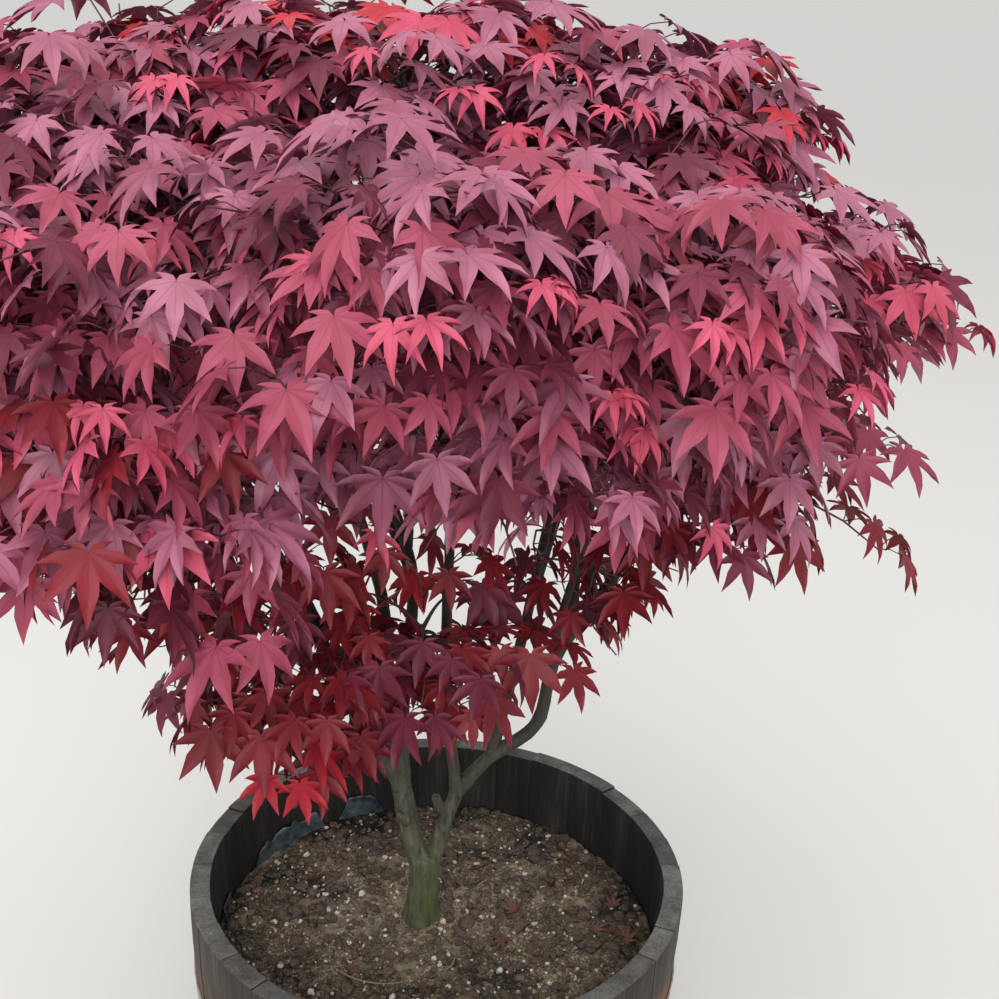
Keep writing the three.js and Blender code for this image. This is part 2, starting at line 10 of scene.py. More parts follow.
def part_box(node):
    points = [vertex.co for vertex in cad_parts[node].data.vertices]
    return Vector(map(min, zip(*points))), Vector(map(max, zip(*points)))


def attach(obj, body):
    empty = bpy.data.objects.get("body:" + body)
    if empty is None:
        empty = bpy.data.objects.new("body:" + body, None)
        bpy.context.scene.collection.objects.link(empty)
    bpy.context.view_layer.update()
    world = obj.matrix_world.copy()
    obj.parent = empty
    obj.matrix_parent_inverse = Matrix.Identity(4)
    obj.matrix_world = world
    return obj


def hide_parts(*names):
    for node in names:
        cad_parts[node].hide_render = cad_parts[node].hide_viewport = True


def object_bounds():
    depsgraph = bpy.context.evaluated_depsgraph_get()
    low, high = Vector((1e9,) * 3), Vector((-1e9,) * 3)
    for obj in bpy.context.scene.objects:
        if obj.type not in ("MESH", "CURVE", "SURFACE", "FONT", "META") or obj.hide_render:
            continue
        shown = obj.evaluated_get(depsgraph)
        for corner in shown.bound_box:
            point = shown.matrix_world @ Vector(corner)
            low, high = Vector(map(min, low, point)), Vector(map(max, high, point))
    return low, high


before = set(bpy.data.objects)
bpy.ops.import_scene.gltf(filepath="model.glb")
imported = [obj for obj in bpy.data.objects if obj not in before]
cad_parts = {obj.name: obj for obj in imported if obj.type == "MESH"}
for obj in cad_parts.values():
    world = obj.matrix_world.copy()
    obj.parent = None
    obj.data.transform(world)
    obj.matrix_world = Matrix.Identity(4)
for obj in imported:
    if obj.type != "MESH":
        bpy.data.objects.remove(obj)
cad_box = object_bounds()

# The staves
# Half a used oak barrel: staves bent over fire, planed to a wedge at their joints and sawn off
# across the widest. They hold each other by the pressure of the hoops.

hoop_low, hoop_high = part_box("quarter_hoop")
AXIS = np.array([(hoop_low.x + hoop_high.x) / 2, (hoop_low.y + hoop_high.y) / 2, 0.0])

TUB_HEIGHT = 0.410
RIM_RADIUS = 0.300
FOOT_RADIUS = 0.250
WALL = 0.0235
STAVES_PER_NODE = 3
NODE_TURN = math.radians(36)
FIRST_JOINT = math.radians(3.8)


def side_radius(z):
    return RIM_RADIUS - (RIM_RADIUS - FOOT_RADIUS) * (1 - z / TUB_HEIGHT) ** 2


def off(radius, turn):
    """How far a place at a distance in some direction lies along X and along Y."""
    return radius * math.cos(turn), radius * math.sin(turn)


def smooth(mesh, sharp=None):
    """Rounded shading, with edges sharper than an angle in degrees kept crisp."""
    mesh.polygons.foreach_set("use_smooth", np.ones(len(mesh.polygons), bool))
    if sharp:
        mesh.set_sharp_from_angle(angle=math.radians(sharp))


def stand_in_for(nodes, name, mesh):
    """The mesh as a piece that rides with the plant, in place of some solids."""
    piece = bpy.data.objects.new(name, mesh)
    bpy.context.scene.collection.objects.link(piece)
    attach(piece, "root")
    if nodes:
        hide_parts(*nodes)
    return piece


def new_material(name, roughness, metallic=0.0, specular=0.5):
    material = bpy.data.materials.new(name)
    material.use_nodes = True
    sockets = material.node_tree.nodes["Principled BSDF"].inputs
    sockets["Roughness"].default_value = roughness
    sockets["Metallic"].default_value = metallic
    sockets["Specular IOR Level"].default_value = specular
    return material


def add_node(material, kind, inputs, output=0, **settings):
    """A node with some inputs set or linked; returns one of its outputs."""
    made = material.node_tree.nodes.new(kind)
    for key, value in settings.items():
        setattr(made, key, value)
    for key, value in inputs.items():
        if isinstance(value, bpy.types.NodeSocket):
            material.node_tree.links.new(value, made.inputs[key])
        else:
            made.inputs[key].default_value = value
    return made.outputs[output]


def link_shader(material, socket, value):
    shader = material.node_tree.nodes["Principled BSDF"]
    material.node_tree.links.new(value, shader.inputs[socket])


def place_of(material):
    """The place on the plant, in metres."""
    return add_node(material, "ShaderNodeTexCoord", {}, output="Object")


def add_noise(material, scale, detail=4.0, rough=0.55, stretch=(1, 1, 1), distortion=0.0):
    stretched = {"Vector": place_of(material), "Scale": stretch}
    place = add_node(material, "ShaderNodeMapping", stretched)
    inputs = {"Vector": place, "Scale": scale, "Detail": detail, "Roughness": rough}
    return add_node(material, "ShaderNodeTexNoise", {**inputs, "Distortion": distortion})


def add_ramp(material, factor, *stops):
    """A colour from a factor, through (position, colour) stops; colours are linear."""
    ramp = material.node_tree.nodes.new("ShaderNodeValToRGB")
    elements = ramp.color_ramp.elements
    while len(elements) < len(stops):
        elements.new(0.5)
    for element, (position, colour) in zip(elements, stops):
        element.position = position
        colour = (colour,) * 3 if isinstance(colour, float) else colour
        element.color = (*colour, 1)
    material.node_tree.links.new(factor, ramp.inputs["Fac"])
    return ramp.outputs["Color"]


def add_mix(material, factor, a, b, blend="MIX"):
    made = material.node_tree.nodes.new("ShaderNodeMix")
    made.data_type = "RGBA"
    made.blend_type = blend
    for socket, value in ((made.inputs[0], factor), (made.inputs[6], a), (made.inputs[7], b)):
        if isinstance(value, bpy.types.NodeSocket):
            material.node_tree.links.new(value, socket)
        else:
            socket.default_value = (*value, 1) if isinstance(value, tuple) else value
    return made.outputs[2]


def add_bump(material, height, distance, strength=1.0):
    inputs = {"Height": height, "Distance": distance, "Strength": strength}
    link_shader(material, "Normal", add_node(material, "ShaderNodeBump", inputs))


def height_mask(material, low, high):
    """0 at one height and 1 at another, in metres."""
    z = add_node(material, "ShaderNodeSeparateXYZ", {0: place_of(material)}, output="Z")
    inputs = {"Value": z, "From Min": low, "From Max": high}
    return add_node(material, "ShaderNodeMapRange", inputs)


def multiply(material, a, b):
    return add_node(material, "ShaderNodeMath", {0: a, 1: b}, operation="MULTIPLY")


GRAIN_RELIEF = 0.0012
RUST = (0.21, 0.052, 0.014)
RUST_RUNS = ((0.29, 0.302, 0.306, 0.352), (0.16, 0.172, 0.176, 0.215))  # begins, full, fades, ends


def oak(name, roughness, *shades):
    """Weathered oak with its grain upright, a little different on each stave."""
    material = new_material(name, roughness, specular=0.35)
    grain = add_noise(material, 260, 6, 0.65, stretch=(1, 1, 0.045), distortion=0.4)
    broad = add_noise(material, 34, 3, 0.6, stretch=(1, 1, 0.16))
    both = add_node(material, "ShaderNodeMath", {0: grain, 1: broad}, operation="ADD")
    spread = {"Value": both, "From Min": 0.72, "From Max": 1.34}
    colour = add_ramp(material, add_node(material, "ShaderNodeMapRange", spread), *shades)
    tone = add_node(material, "ShaderNodeAttribute", {}, output="Fac", attribute_name="tone")
    colour = add_mix(material, 1.0, colour, add_ramp(material, tone, (0, 0.62), (1, 1.25)), "MULTIPLY")
    add_bump(material, grain, GRAIN_RELIEF, 0.7)
    return material, colour


def make_oak_outside():
    dark, middle, pale = (0.014, 0.0105, 0.008), (0.038, 0.028, 0.021), (0.088, 0.07, 0.055)
    material, colour = oak("oak_outside", 0.72, (0.1, dark), (0.5, middle), (0.95, pale))
    # Rust from the hoops has run into the wood over their upper edges and a little below them.
    patches = add_ramp(material, add_noise(material, 20, 4, 0.65, (1, 1, 0.5)), (0.4, 0.0), (0.56, 1.0))
    for begins, full, fades, ends in RUST_RUNS:
        over = multiply(material, height_mask(material, begins, full), height_mask(material, ends, fades))
        colour = add_mix(material, multiply(material, over, patches), colour, RUST)
    link_shader(material, "Base Color", colour)
    return material


def make_oak_inside():
    dark, middle, pale = (0.007, 0.006, 0.005), (0.017, 0.0145, 0.012), (0.05, 0.044, 0.037)
    material, colour = oak("oak_inside", 0.8, (0.15, dark), (0.6, middle), (1.0, pale))
    bloom = add_ramp(material, add_noise(material, 48, 5, 0.7, (1, 1, 0.14)), (0.58, 0.0), (0.74, 0.5))
    link_shader(material, "Base Color", add_mix(material, bloom, colour, (0.06, 0.054, 0.045)))
    return material


def make_oak_rim():
    dark, middle, pale = (0.09, 0.084, 0.075), (0.15, 0.142, 0.128), (0.205, 0.196, 0.178)
    material, colour = oak("oak_rim", 0.85, (0.1, dark), (0.55, middle), (1.0, pale))
    pores = add_ramp(material, add_noise(material, 420, 4, 0.7), (0.36, 0.55), (0.52, 1.0))
    stains = add_ramp(material, add_noise(material, 30, 4, 0.6), (0.35, 0.5), (0.6, 1.0))
    colour = add_mix(material, 0.8, colour, pores, "MULTIPLY")
    link_shader(material, "Base Color", add_mix(material, 0.8, colour, stains, "MULTIPLY"))
    return material


OAK = [make_oak_outside(), make_oak_inside(), make_oak_rim()]
OUTSIDE, INSIDE, RIM = range(3)
STAVE_LEVELS = [0, 0.02, 0.05, 0.1, 0.15, 0.2, 0.25, 0.3, 0.35, 0.39, TUB_HEIGHT]
STAVE_COLUMNS = 6
JOINT_GAP = 0.00004
STAVE_EDGE = 0.0012
SHARP_CORNER = math.radians(50)


def add_stave(shape, start, end, rng):
    """One stave as a closed bar, its outer face first, beside the others of its node."""
    tone = shape.verts.layers.float["tone"]
    shade = rng.random()
    shift = rng.uniform(-0.0006, 0.0003)
    rim = TUB_HEIGHT + rng.uniform(-0.0016, 0.0014)
    rings = []
    for z in STAVE_LEVELS:
        level = rim if z == TUB_HEIGHT else z
        ring = []
        for depth in (0, WALL):
            radius = side_radius(z) + shift - depth
            gap = JOINT_GAP / radius
            turns = np.linspace(start + gap, end - gap, STAVE_COLUMNS)
            turns = turns[::-1] if depth else turns
            ring += [AXIS + (*off(radius, a), level) for a in turns]
        rings.append([shape.verts.new(p) for p in ring])
    for vert in (v for ring in rings for v in ring):
        vert[tone] = shade
    count = len(rings[0])
    for below, above in zip(rings, rings[1:]):
        for i in range(count):
            j = (i + 1) % count
            side = shape.faces.new((below[i], below[j], above[j], above[i]))
            side.material_index = OUTSIDE if i < STAVE_COLUMNS - 1 else INSIDE
    foot, top = rings[0], rings[-1]
    for i in range(STAVE_COLUMNS - 1):
        j = count - 1 - i
        shape.faces.new((foot[i + 1], foot[i], foot[j], foot[j - 1]))
        shape.faces.new((top[i], top[i + 1], top[j - 1], top[j])).material_index = RIM


def add_staves():
    rng = random.Random(7)
    for group in range(10):
        name = f"staves_{group + 1:02d}"
        shape = bmesh.new()
        shape.verts.layers.float.new("tone")
        widths = [rng.uniform(0.86, 1.14) for _ in range(STAVES_PER_NODE)]
        start = FIRST_JOINT + group * NODE_TURN
        for width in widths:
            end = start + NODE_TURN * width / sum(widths)
            add_stave(shape, start, end, rng)
            start = end
        bmesh.ops.recalc_face_normals(shape, faces=shape.faces)
        edges = [e for e in shape.edges if e.calc_face_angle(0) > SHARP_CORNER]
        rounding = {"offset": STAVE_EDGE, "segments": 2, "profile": 0.6, "material": -1}
        bmesh.ops.bevel(shape, geom=edges, affect="EDGES", **rounding)
        mesh = bpy.data.meshes.new(f"oak_{name}")
        shape.to_mesh(mesh)
        shape.free()
        for material in OAK:
            mesh.materials.append(material)
        smooth(mesh, sharp=40)
        stand_in_for([name], f"oak_{name}", mesh)


add_staves()

# The hoops
# Three bands of galvanised steel, driven down over the staves. Each is closed by two rivets where
# its ends lap.

HOOPS = {"bilge_hoop": (0.262, 0.305), "quarter_hoop": (0.130, 0.173), "head_hoop": (0.008, 0.056)}
HOOP_SEAT = 0.0006
HOOP_THICKNESS = 0.0018
HOOP_EDGE = 0.0005
HOOP_WAVER = 0.0002
HOOP_STEPS = 144
LAP_AT = math.radians(118)
LAP_WIDTH = math.radians(11)
LAP_STEPS = 12
RIVETS_AT = (0.3, 0.7)
RIVET_SIDES = 12
RIVET_PROFILE = ((0.0055, -0.0004), (0.0052, 0.0012), (0.0036, 0.0024), (0.0012, 0.0029))


def make_steel():
    material = new_material("galvanised_steel", 0.5, metallic=0.55)
    patches = add_noise(material, 40, 5, 0.6)
    colour = add_ramp(material, patches, (0.3, (0.2, 0.205, 0.2)), (0.7, (0.42, 0.425, 0.42)))
    rust = add_ramp(material, add_noise(material, 28, 6, 0.7), (0.52, 0.0), (0.68, 0.85))
    link_shader(material, "Base Color", add_mix(material, rust, colour, (0.16, 0.055, 0.022)))
    link_shader(material, "Roughness", add_ramp(material, patches, (0.3, 0.38), (0.7, 0.62)))
    add_bump(material, add_noise(material, 260, 3), 0.0004, 0.5)
    return material


STEEL = make_steel()


def add_piece(name, points, faces, material, slot, nodes=(), sharp=None):
    """A piece whose points are given from the tub's axis."""
    points = np.asarray(points, float) + AXIS
    faces = np.asarray(faces, int)
    mesh = bpy.data.meshes.new(name)
    mesh.vertices.add(len(points))
    mesh.vertices.foreach_set("co", points.ravel())
    mesh.loops.add(faces.size)
    mesh.loops.foreach_set("vertex_index", faces.ravel())
    mesh.polygons.add(len(faces))
    mesh.polygons.foreach_set("loop_start", np.arange(0, faces.size, faces.shape[1]))
    mesh.materials.append(material)
    mesh.update(calc_edges=True)
    smooth(mesh, sharp)
    return stand_in_for(nodes, name, mesh)


def grid_faces(rows, columns, closed=True):
    """Four-sided faces between the points of a grid; closed joins the last column to the first."""
    across = np.arange(columns if closed else columns - 1)
    r, c = np.meshgrid(np.arange(rows - 1), across, indexing="ij")
    a = (r * columns + c).ravel()
    b = (r * columns + (c + 1) % columns).ravel()
    return np.stack([a, b, b + columns, a + columns], axis=1)


def band(bottom, top, lift, start, turn, steps):
    """A strip of steel that follows the staves, as rings of points round its section."""
    outer, edge = HOOP_THICKNESS, HOOP_EDGE
    section = [(0, bottom), (outer - edge, bottom), (outer, bottom + edge)]
    section += [(outer, top - edge), (outer - edge, top), (0, top)]
    rows = []
    for a in start + turn * np.arange(steps) / steps:
        waver = HOOP_WAVER * math.sin(3 * a) + lift
        for out, z in section:
            radius = side_radius(z) + HOOP_SEAT + waver + out
            rows.append((*off(radius, a), z))
    return np.array(rows), len(section)


def rivet(turn, z):
    """A low domed head on the lap of a hoop."""
    radius = side_radius(z) + HOOP_SEAT + 2 * HOOP_THICKNESS
    out = np.array([*off(1, turn), 0])
    side = np.array([-math.sin(turn), math.cos(turn), 0])
    points = []
    for r, h in RIVET_PROFILE:
        for a in 2 * math.pi * np.arange(RIVET_SIDES) / RIVET_SIDES:
            centre = out * (radius + h) + side * r * math.cos(a)
            points.append(centre + np.array([0, 0, z + r * math.sin(a)]))
    return np.array(points), grid_faces(len(RIVET_PROFILE), RIVET_SIDES)


def add_hoops():
    for name, (bottom, top) in HOOPS.items():
        points, sides = band(bottom, top, 0, 0, 2 * math.pi, HOOP_STEPS)
        faces = grid_faces(HOOP_STEPS + 1, sides) % len(points)
        lap, _ = band(bottom, top, HOOP_THICKNESS, LAP_AT, LAP_WIDTH, LAP_STEPS)
        lap_faces = grid_faces(LAP_STEPS, sides) + len(points)
        ends = [[3, 2, 1, 0], [5, 4, 3, 0]]
        last = len(lap) - sides
        lap_ends = np.array(ends + [[last + i for i in reversed(e)] for e in ends]) + len(points)
        points = np.vstack([points, lap])
        faces = np.vstack([faces, lap_faces, lap_ends])
        for share in RIVETS_AT:
            head, head_faces = rivet(LAP_AT + share * LAP_WIDTH, (bottom + top) / 2)
            faces = np.vstack([faces, head_faces + len(points)])
            points = np.vstack([points, head])
        add_piece(f"{name}_band", points, faces, STEEL, "hoop_steel", [name], sharp=35)


add_hoops()

# The bottom board, the soil and the film
# Potting soil, pressed and weathered, with pale grit, moss, bits of bark and fallen leaves on it.
# A strip of torn dark film, left from lining the tub, shows between soil and staves.

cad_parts["barrel_head"].data.materials.clear()
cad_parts["barrel_head"].data.materials.append(OAK[1])

SOIL_TOP = 0.3197
SOIL_EDGE = 0.3127
SOIL_RADIUS = 0.2715
LEVEL_RADIUS = 0.095
SOIL_RINGS = 96
SOIL_COLUMNS = 300
SOIL_SIDES = (0.3, 0.2, 0.1, 0.0575)
MOUNDS = 0.005
CRUMBS = 0.0036
CLODS = 0.013
TRUNK_FOOT = (-0.021, 0.017)


def rough_ground(x, y):
    """How far the soil lies above or below its even surface."""
    mounds = noise.fractal(Vector((11 * x, 11 * y, 0.3)), 1.0, 2.0, 3)
    crumbs = noise.fractal(Vector((85 * x, 85 * y, 1.7)), 0.8, 2.1, 4)
    clods = max(0.0, noise.noise(Vector((42 * x, 42 * y, 5.1)))) ** 2
    return MOUNDS * mounds + CRUMBS * crumbs + CLODS * clods


def soil_height(x, y):
    outwards = max(0.0, math.hypot(x, y) - LEVEL_RADIUS) / (SOIL_RADIUS - LEVEL_RADIUS)
    return SOIL_TOP - (SOIL_TOP - SOIL_EDGE) * outwards + rough_ground(x, y)


def distance_from(material, centre):
    """How far a place lies from an upright line, in metres."""
    level = {0: place_of(material), 1: (1, 1, 0)}
    flat = add_node(material, "ShaderNodeVectorMath", level, operation="MULTIPLY")
    away = {0: flat, 1: (centre[0], centre[1], 0)}
    return add_node(material, "ShaderNodeVectorMath", away, output="Value", operation="DISTANCE")


def make_soil():
    material = new_material("potting_soil", 0.95, specular=0.25)
    fine = add_noise(material, 330, 6, 0.7)
    dark, brown, pale = (0.045, 0.033, 0.024), (0.15, 0.112, 0.078), (0.55, 0.45, 0.335)
    earth = add_ramp(material, fine, (0.3, dark), (0.5, brown), (0.66, pale))
    damp = add_ramp(material, add_noise(material, 12, 7, 0.72), (0.42, 0.2), (0.55, 1.0))
    earth = add_mix(material, 1.0, earth, damp, "MULTIPLY")
    # The soil darkens towards the staves.
    darker_by_staves = add_ramp(material, distance_from(material, AXIS), (0.2, 1.0), (0.262, 0.42))
    earth = add_mix(material, 1.0, earth, darker_by_staves, "MULTIPLY")
    dry = add_ramp(material, add_noise(material, 15, 5, 0.65), (0.52, 0.0), (0.64, 0.7))
    colour = add_mix(material, dry, earth, (0.31, 0.24, 0.17))
    near = add_ramp(material, distance_from(material, AXIS + (-0.01, 0.03, 0)), (0.02, 1.0), (0.11, 0.0))
    sand = multiply(material, near, add_ramp(material, fine, (0.4, 0.15), (0.58, 0.8)))
    colour = add_mix(material, sand, colour, (0.4, 0.315, 0.22))
    moss = add_ramp(material, add_noise(material, 24, 5, 0.7, distortion=0.5), (0.55, 0.0), (0.66, 0.6))
    green = add_ramp(material, fine, (0.35, (0.035, 0.04, 0.016)), (0.7, (0.17, 0.175, 0.07)))
    link_shader(material, "Base Color", add_mix(material, moss, colour, green))
    add_bump(material, fine, 0.003, 0.9)
    return material


def around(radius, z):
    """A ring of points at one height; z may be a function of the place."""
    ring = []
    for a in 2 * math.pi * np.arange(SOIL_COLUMNS) / SOIL_COLUMNS:
        x, y = off(radius, a)
        ring.append((x, y, z(x, y) if callable(z) else z))
    return ring


def add_soil():
    """The rough surface, then the sides down the staves and the middle of the bottom."""
    points = []
    for radius in SOIL_RADIUS * np.sqrt(np.linspace(0.00002, 1, SOIL_RINGS)):
        points += around(radius, soil_height)
    for z in SOIL_SIDES:
        points += around(side_radius(z) - WALL - 0.003, z)
    points += around(0.001, SOIL_SIDES[-1])
    faces = grid_faces(SOIL_RINGS + len(SOIL_SIDES) + 1, SOIL_COLUMNS)[:, ::-1]
    add_piece("soil_surface", points, faces, make_soil(), "potting_soil", ["soil"])


add_soil()


def icosahedron():
    shape = bmesh.new()
    bmesh.ops.create_icosphere(shape, subdivisions=1, radius=1.0)
    points = np.array([v.co for v in shape.verts])
    faces = np.array([[v.index for v in f.verts] for f in shape.faces])
    shape.free()
    return points, faces


CLEAR_OF_TRUNK = 0.03
DENTS = 0.22


def scattered(count, sizes, flatness, rng):
    """Lumps lying on the soil: places, sizes and turns by chance, each dented a little."""
    ball, ball_faces = icosahedron()
    points, faces = [], []
    while len(points) < count:
        radius = (SOIL_RADIUS - 0.006) * math.sqrt(rng.random())
        turn = 2 * math.pi * rng.random()
        x, y = off(radius, turn)
        if math.hypot(x - TRUNK_FOOT[0], y - TRUNK_FOOT[1]) < CLEAR_OF_TRUNK:
            continue
        size = rng.uniform(*sizes) * (0.6 + 0.8 * rng.random() ** 2)
        scale = np.array([rng.uniform(0.7, 1.3), rng.uniform(0.7, 1.0), flatness])
        lump = ball * (1 + DENTS * np.array([[rng.uniform(-1, 1)] for _ in ball])) * scale * size
        spin = rng.uniform(0, 2 * math.pi)
        c, s = math.cos(spin), math.sin(spin)
        lump = lump @ np.array([[c, s, 0], [-s, c, 0], [0, 0, 1]])
        faces.append(ball_faces + len(ball) * len(points))
        points.append(lump + (x, y, soil_height(x, y) + 0.3 * size * flatness))
    return np.vstack(points), np.vstack(faces)


def speckled(name, roughness, dark, light, scale=500):
    material = new_material(name, roughness, specular=0.3)
    fine = add_noise(material, scale, 4, 0.6)
    link_shader(material, "Base Color", add_ramp(material, fine, (0.35, dark), (0.65, light)))
    add_bump(material, fine, 0.0008, 0.6)
    return material


def add_litter():
    rng = random.Random(23)
    pale = speckled("pale_grit", 0.9, (0.32, 0.27, 0.21), (0.74, 0.69, 0.6))
    tan = speckled("tan_grit", 0.9, (0.2, 0.15, 0.105), (0.42, 0.33, 0.24))
    clod = speckled("dark_clods", 0.95, (0.03, 0.022, 0.016), (0.15, 0.112, 0.08))
    moss = speckled("moss_tufts", 0.9, (0.055, 0.056, 0.027), (0.15, 0.15, 0.075))
    chips = speckled("bark_chips", 0.85, (0.08, 0.045, 0.03), (0.24, 0.15, 0.1))
    kinds = (
        ("grit_pale", 720, (0.0011, 0.004), 0.75, pale),
        ("grit_tan", 700, (0.001, 0.0034), 0.7, tan),
        ("clods", 1500, (0.002, 0.0085), 0.7, clod),
        ("moss", 300, (0.002, 0.006), 0.45, moss),
        ("chips", 260, (0.0025, 0.007), 0.22, chips),
    )
    for name, count, sizes, flatness, material in kinds:
        points, faces = scattered(count, sizes, flatness, rng)
        add_piece(f"soil_{name}", points, faces, material, "potting_soil", sharp=50)


add_litter()

FILM_START = math.radians(99.8)
FILM_TURN = math.radians(96)
FILM_FOOT = 0.285
FILM_EDGE = 0.317
FILM_TEAR = 0.032
FILM_LEAN = 0.02
FILM_CREASE = 0.0022
FILM_CLEAR = 0.0022
FILM_THICKNESS = 0.0006


def add_film():
    """A crumpled strip against the staves, torn into flaps that lean in over the soil."""
    rows, columns = 12, 200
    points = []
    for row in range(rows):
        share = row / (rows - 1)
        for column in range(columns):
            a = FILM_START + FILM_TURN * column / (columns - 1)
            flap = noise.fractal(Vector((5.5 * a, 0.4, 0)), 1.0, 2.2, 2)
            top = FILM_EDGE + FILM_TEAR * max(-0.5, min(1.0, flap * 2.4))
            z = FILM_FOOT + (top - FILM_FOOT) * share
            lean = FILM_LEAN * max(0.0, noise.noise(Vector((9 * a, 3.1, 0))) + 0.15) * share**2
            crease = FILM_CREASE * max(0.0, noise.noise(Vector((40 * a, 30 * z, 2.0))) * share)
            radius = side_radius(z) - WALL - FILM_CLEAR - lean - crease
            points.append((*off(radius, a), z))
    material = new_material("dark_film", 0.36)
    # A dark blue-grey film, with painted shade in its creases and a painted pale sheen between them.
    crease_shade_and_sheen = add_noise(material, 60, 4, 0.6)
    shade = add_ramp(material, crease_shade_and_sheen, (0.35, (0.014, 0.022, 0.026)), (0.7, (0.085, 0.115, 0.13)))
    link_shader(material, "Base Color", shade)
    add_bump(material, add_noise(material, 110, 4, 0.6, distortion=1.0), 0.003, 0.6)
    faces = grid_faces(rows, columns, closed=False)
    film = add_piece("torn_film", points, faces, material, "liner_film", ["liner_film"])
    thicken = film.modifiers.new("thickness", "SOLIDIFY")
    thicken.thickness = FILM_THICKNESS


add_film()

# The trunk and its stems
# A short trunk that forks low into two stems, the right one with a pruned stub. Smooth grey-green
# bark with shallow fissures and moss on the foot; roots swell it where it leaves the soil.


def mm(*place):
    return np.array(place, float) / 1000


def smooth_line(points, count=65):
    """Evenly spaced points on the rounded curve through a few points."""
    p = np.asarray(points, float)
    p = np.vstack([2 * p[0] - p[1], p, 2 * p[-1] - p[-2]])
    fine = []
    s = np.linspace(0, 1, 60, endpoint=False)[:, None]
    for a, b, c, d in zip(p, p[1:], p[2:], p[3:]):
        t0, t1, t2 = (max(np.linalg.norm(q) ** 0.5, 1e-4) for q in (b - a, c - b, d - c))
        leave = ((b - a) / t0 - (c - a) / (t0 + t1) + (c - b) / t1) * t1
        reach = ((c - b) / t1 - (d - b) / (t1 + t2) + (d - c) / t2) * t1
        square = -3 * b + 3 * c - 2 * leave - reach
        cube = 2 * b - 2 * c + leave + reach
        fine.append(b + leave * s + square * s**2 + cube * s**3)
    fine = np.vstack([*fine, p[-2:-1]])
    return even_points(fine, np.linspace(0, 1, count))


def even_points(line, shares):
    """Points at shares of a line's length."""
    line = np.asarray(line, float)
    gone = np.concatenate([[0], np.cumsum(np.linalg.norm(np.diff(line, axis=0), axis=1))])
    return np.stack([np.interp(np.asarray(shares) * gone[-1], gone, axis) for axis in line.T], axis=-1)


def tube_faces(rows, sides):
    """Triangles between a point, some rings and a last point."""
    faces = grid_faces(rows, sides) + 1
    last = rows * sides + 1
    k = np.arange(sides)
    after = (k + 1) % sides
    foot = np.stack([np.zeros(sides, int), after + 1, k + 1], axis=1)
    tip = np.stack([np.full(sides, last), last - sides + k, last - sides + after], axis=1)
    return np.vstack([faces[:, [0, 1, 2]], faces[:, [0, 2, 3]], foot, tip])


def tube(line, radii, sides=6, rough=0.0):
    """A closed tube along a line of points, with a radius at each."""
    line = np.asarray(line, float)
    ahead = np.vstack([line[1:], line[-1:]]) - np.vstack([line[:1], line[:-1]])
    ahead /= np.linalg.norm(ahead, axis=1)[:, None]
    across = np.cross([0.0, 0.0, 1.0], ahead[0])
    if np.linalg.norm(across) < 0.2:
        across = np.array([1.0, 0.0, 0.0])
    turns = 2 * math.pi * np.arange(sides) / sides
    rings = []
    for centre, along, radius in zip(line, ahead, radii):
        across = across - along * across.dot(along)
        across /= np.linalg.norm(across)
        up = np.cross(along, across)
        ring = centre + radius * (np.outer(np.cos(turns), across) + np.outer(np.sin(turns), up))
        if rough:
            lumps = [noise.fractal(Vector(p) * 60, 1.0, 2.0, 3) for p in ring]
            ring = centre + (ring - centre) * (1 + rough * np.array(lumps))[:, None]
        rings.append(ring)
    return np.vstack([line[:1], *rings, line[-1:]]), tube_faces(len(line), sides)


def joined(parts):
    """Several (points, faces) as one."""
    counts = np.cumsum([0] + [len(points) for points, _ in parts[:-1]])
    faces = [faces + start for start, (_, faces) in zip(counts, parts)]
    return np.vstack([points for points, _ in parts]), np.vstack(faces)


def make_bark():
    """Grey-green and fissured, mossy at the foot of the trunk and dark on the high boughs."""
    material = new_material("maple_bark", 0.75, specular=0.3)
    fissures = add_noise(material, 190, 5, 0.65, stretch=(1, 1, 0.16), distortion=0.6)
    broad = add_noise(material, 45, 4, 0.6, stretch=(1, 1, 0.4))
    colour = add_ramp(material, fissures, (0.3, (0.03, 0.03, 0.019)), (0.68, (0.145, 0.145, 0.093)))
    patches = add_ramp(material, broad, (0.3, 0.5), (0.7, 1.25))
    colour = add_mix(material, 0.8, colour, patches, "MULTIPLY")
    green = add_ramp(material, add_noise(material, 30, 4, 0.6, (1, 1, 0.3)), (0.4, 0.1), (0.6, 0.85))
    low = multiply(material, height_mask(material, 0.425, 0.34), green)
    colour = add_mix(material, low, colour, (0.075, 0.09, 0.028))
    high = height_mask(material, 0.4, 0.6)
    colour = add_mix(material, multiply(material, high, 0.85), colour, (0.028, 0.023, 0.02))
    link_shader(material, "Base Color", colour)
    add_bump(material, fissures, 0.0016, 0.7)
    return material


BARK = make_bark()
TRUNK_BOTTOM = 0.309  # a little under the soil
TRUNK_BASE = 0.320
TRUNK_TOP = 0.415
TRUNK_RISE = 0.088
TRUNK_LEAN = 0.003
TRUNK_RADIUS = 0.0205
TRUNK_TAPER = 0.003
ROOT_FLARE = 0.006
FLARE_HEIGHT = 0.026
STEMS = {  # places in mm, then the radii at foot and tip
    "stem_left": ([(-24, 17, 396), (-38, 17, 450), (-50, 17, 516)], 14.5, 12),
    "stem_right": ([(-9, 19, 396), (2, 34, 440), (18, 45, 488)], 11, 9),
}
limbs = {name: smooth_line([mm(*p) for p in points]) for name, (points, _, _) in STEMS.items()}
STUB = ((6, 37, 458), (-3, 35, 472), (-8, 34, 487))
KNOT = ((-42, 8, 470), (-50, -4, 482))


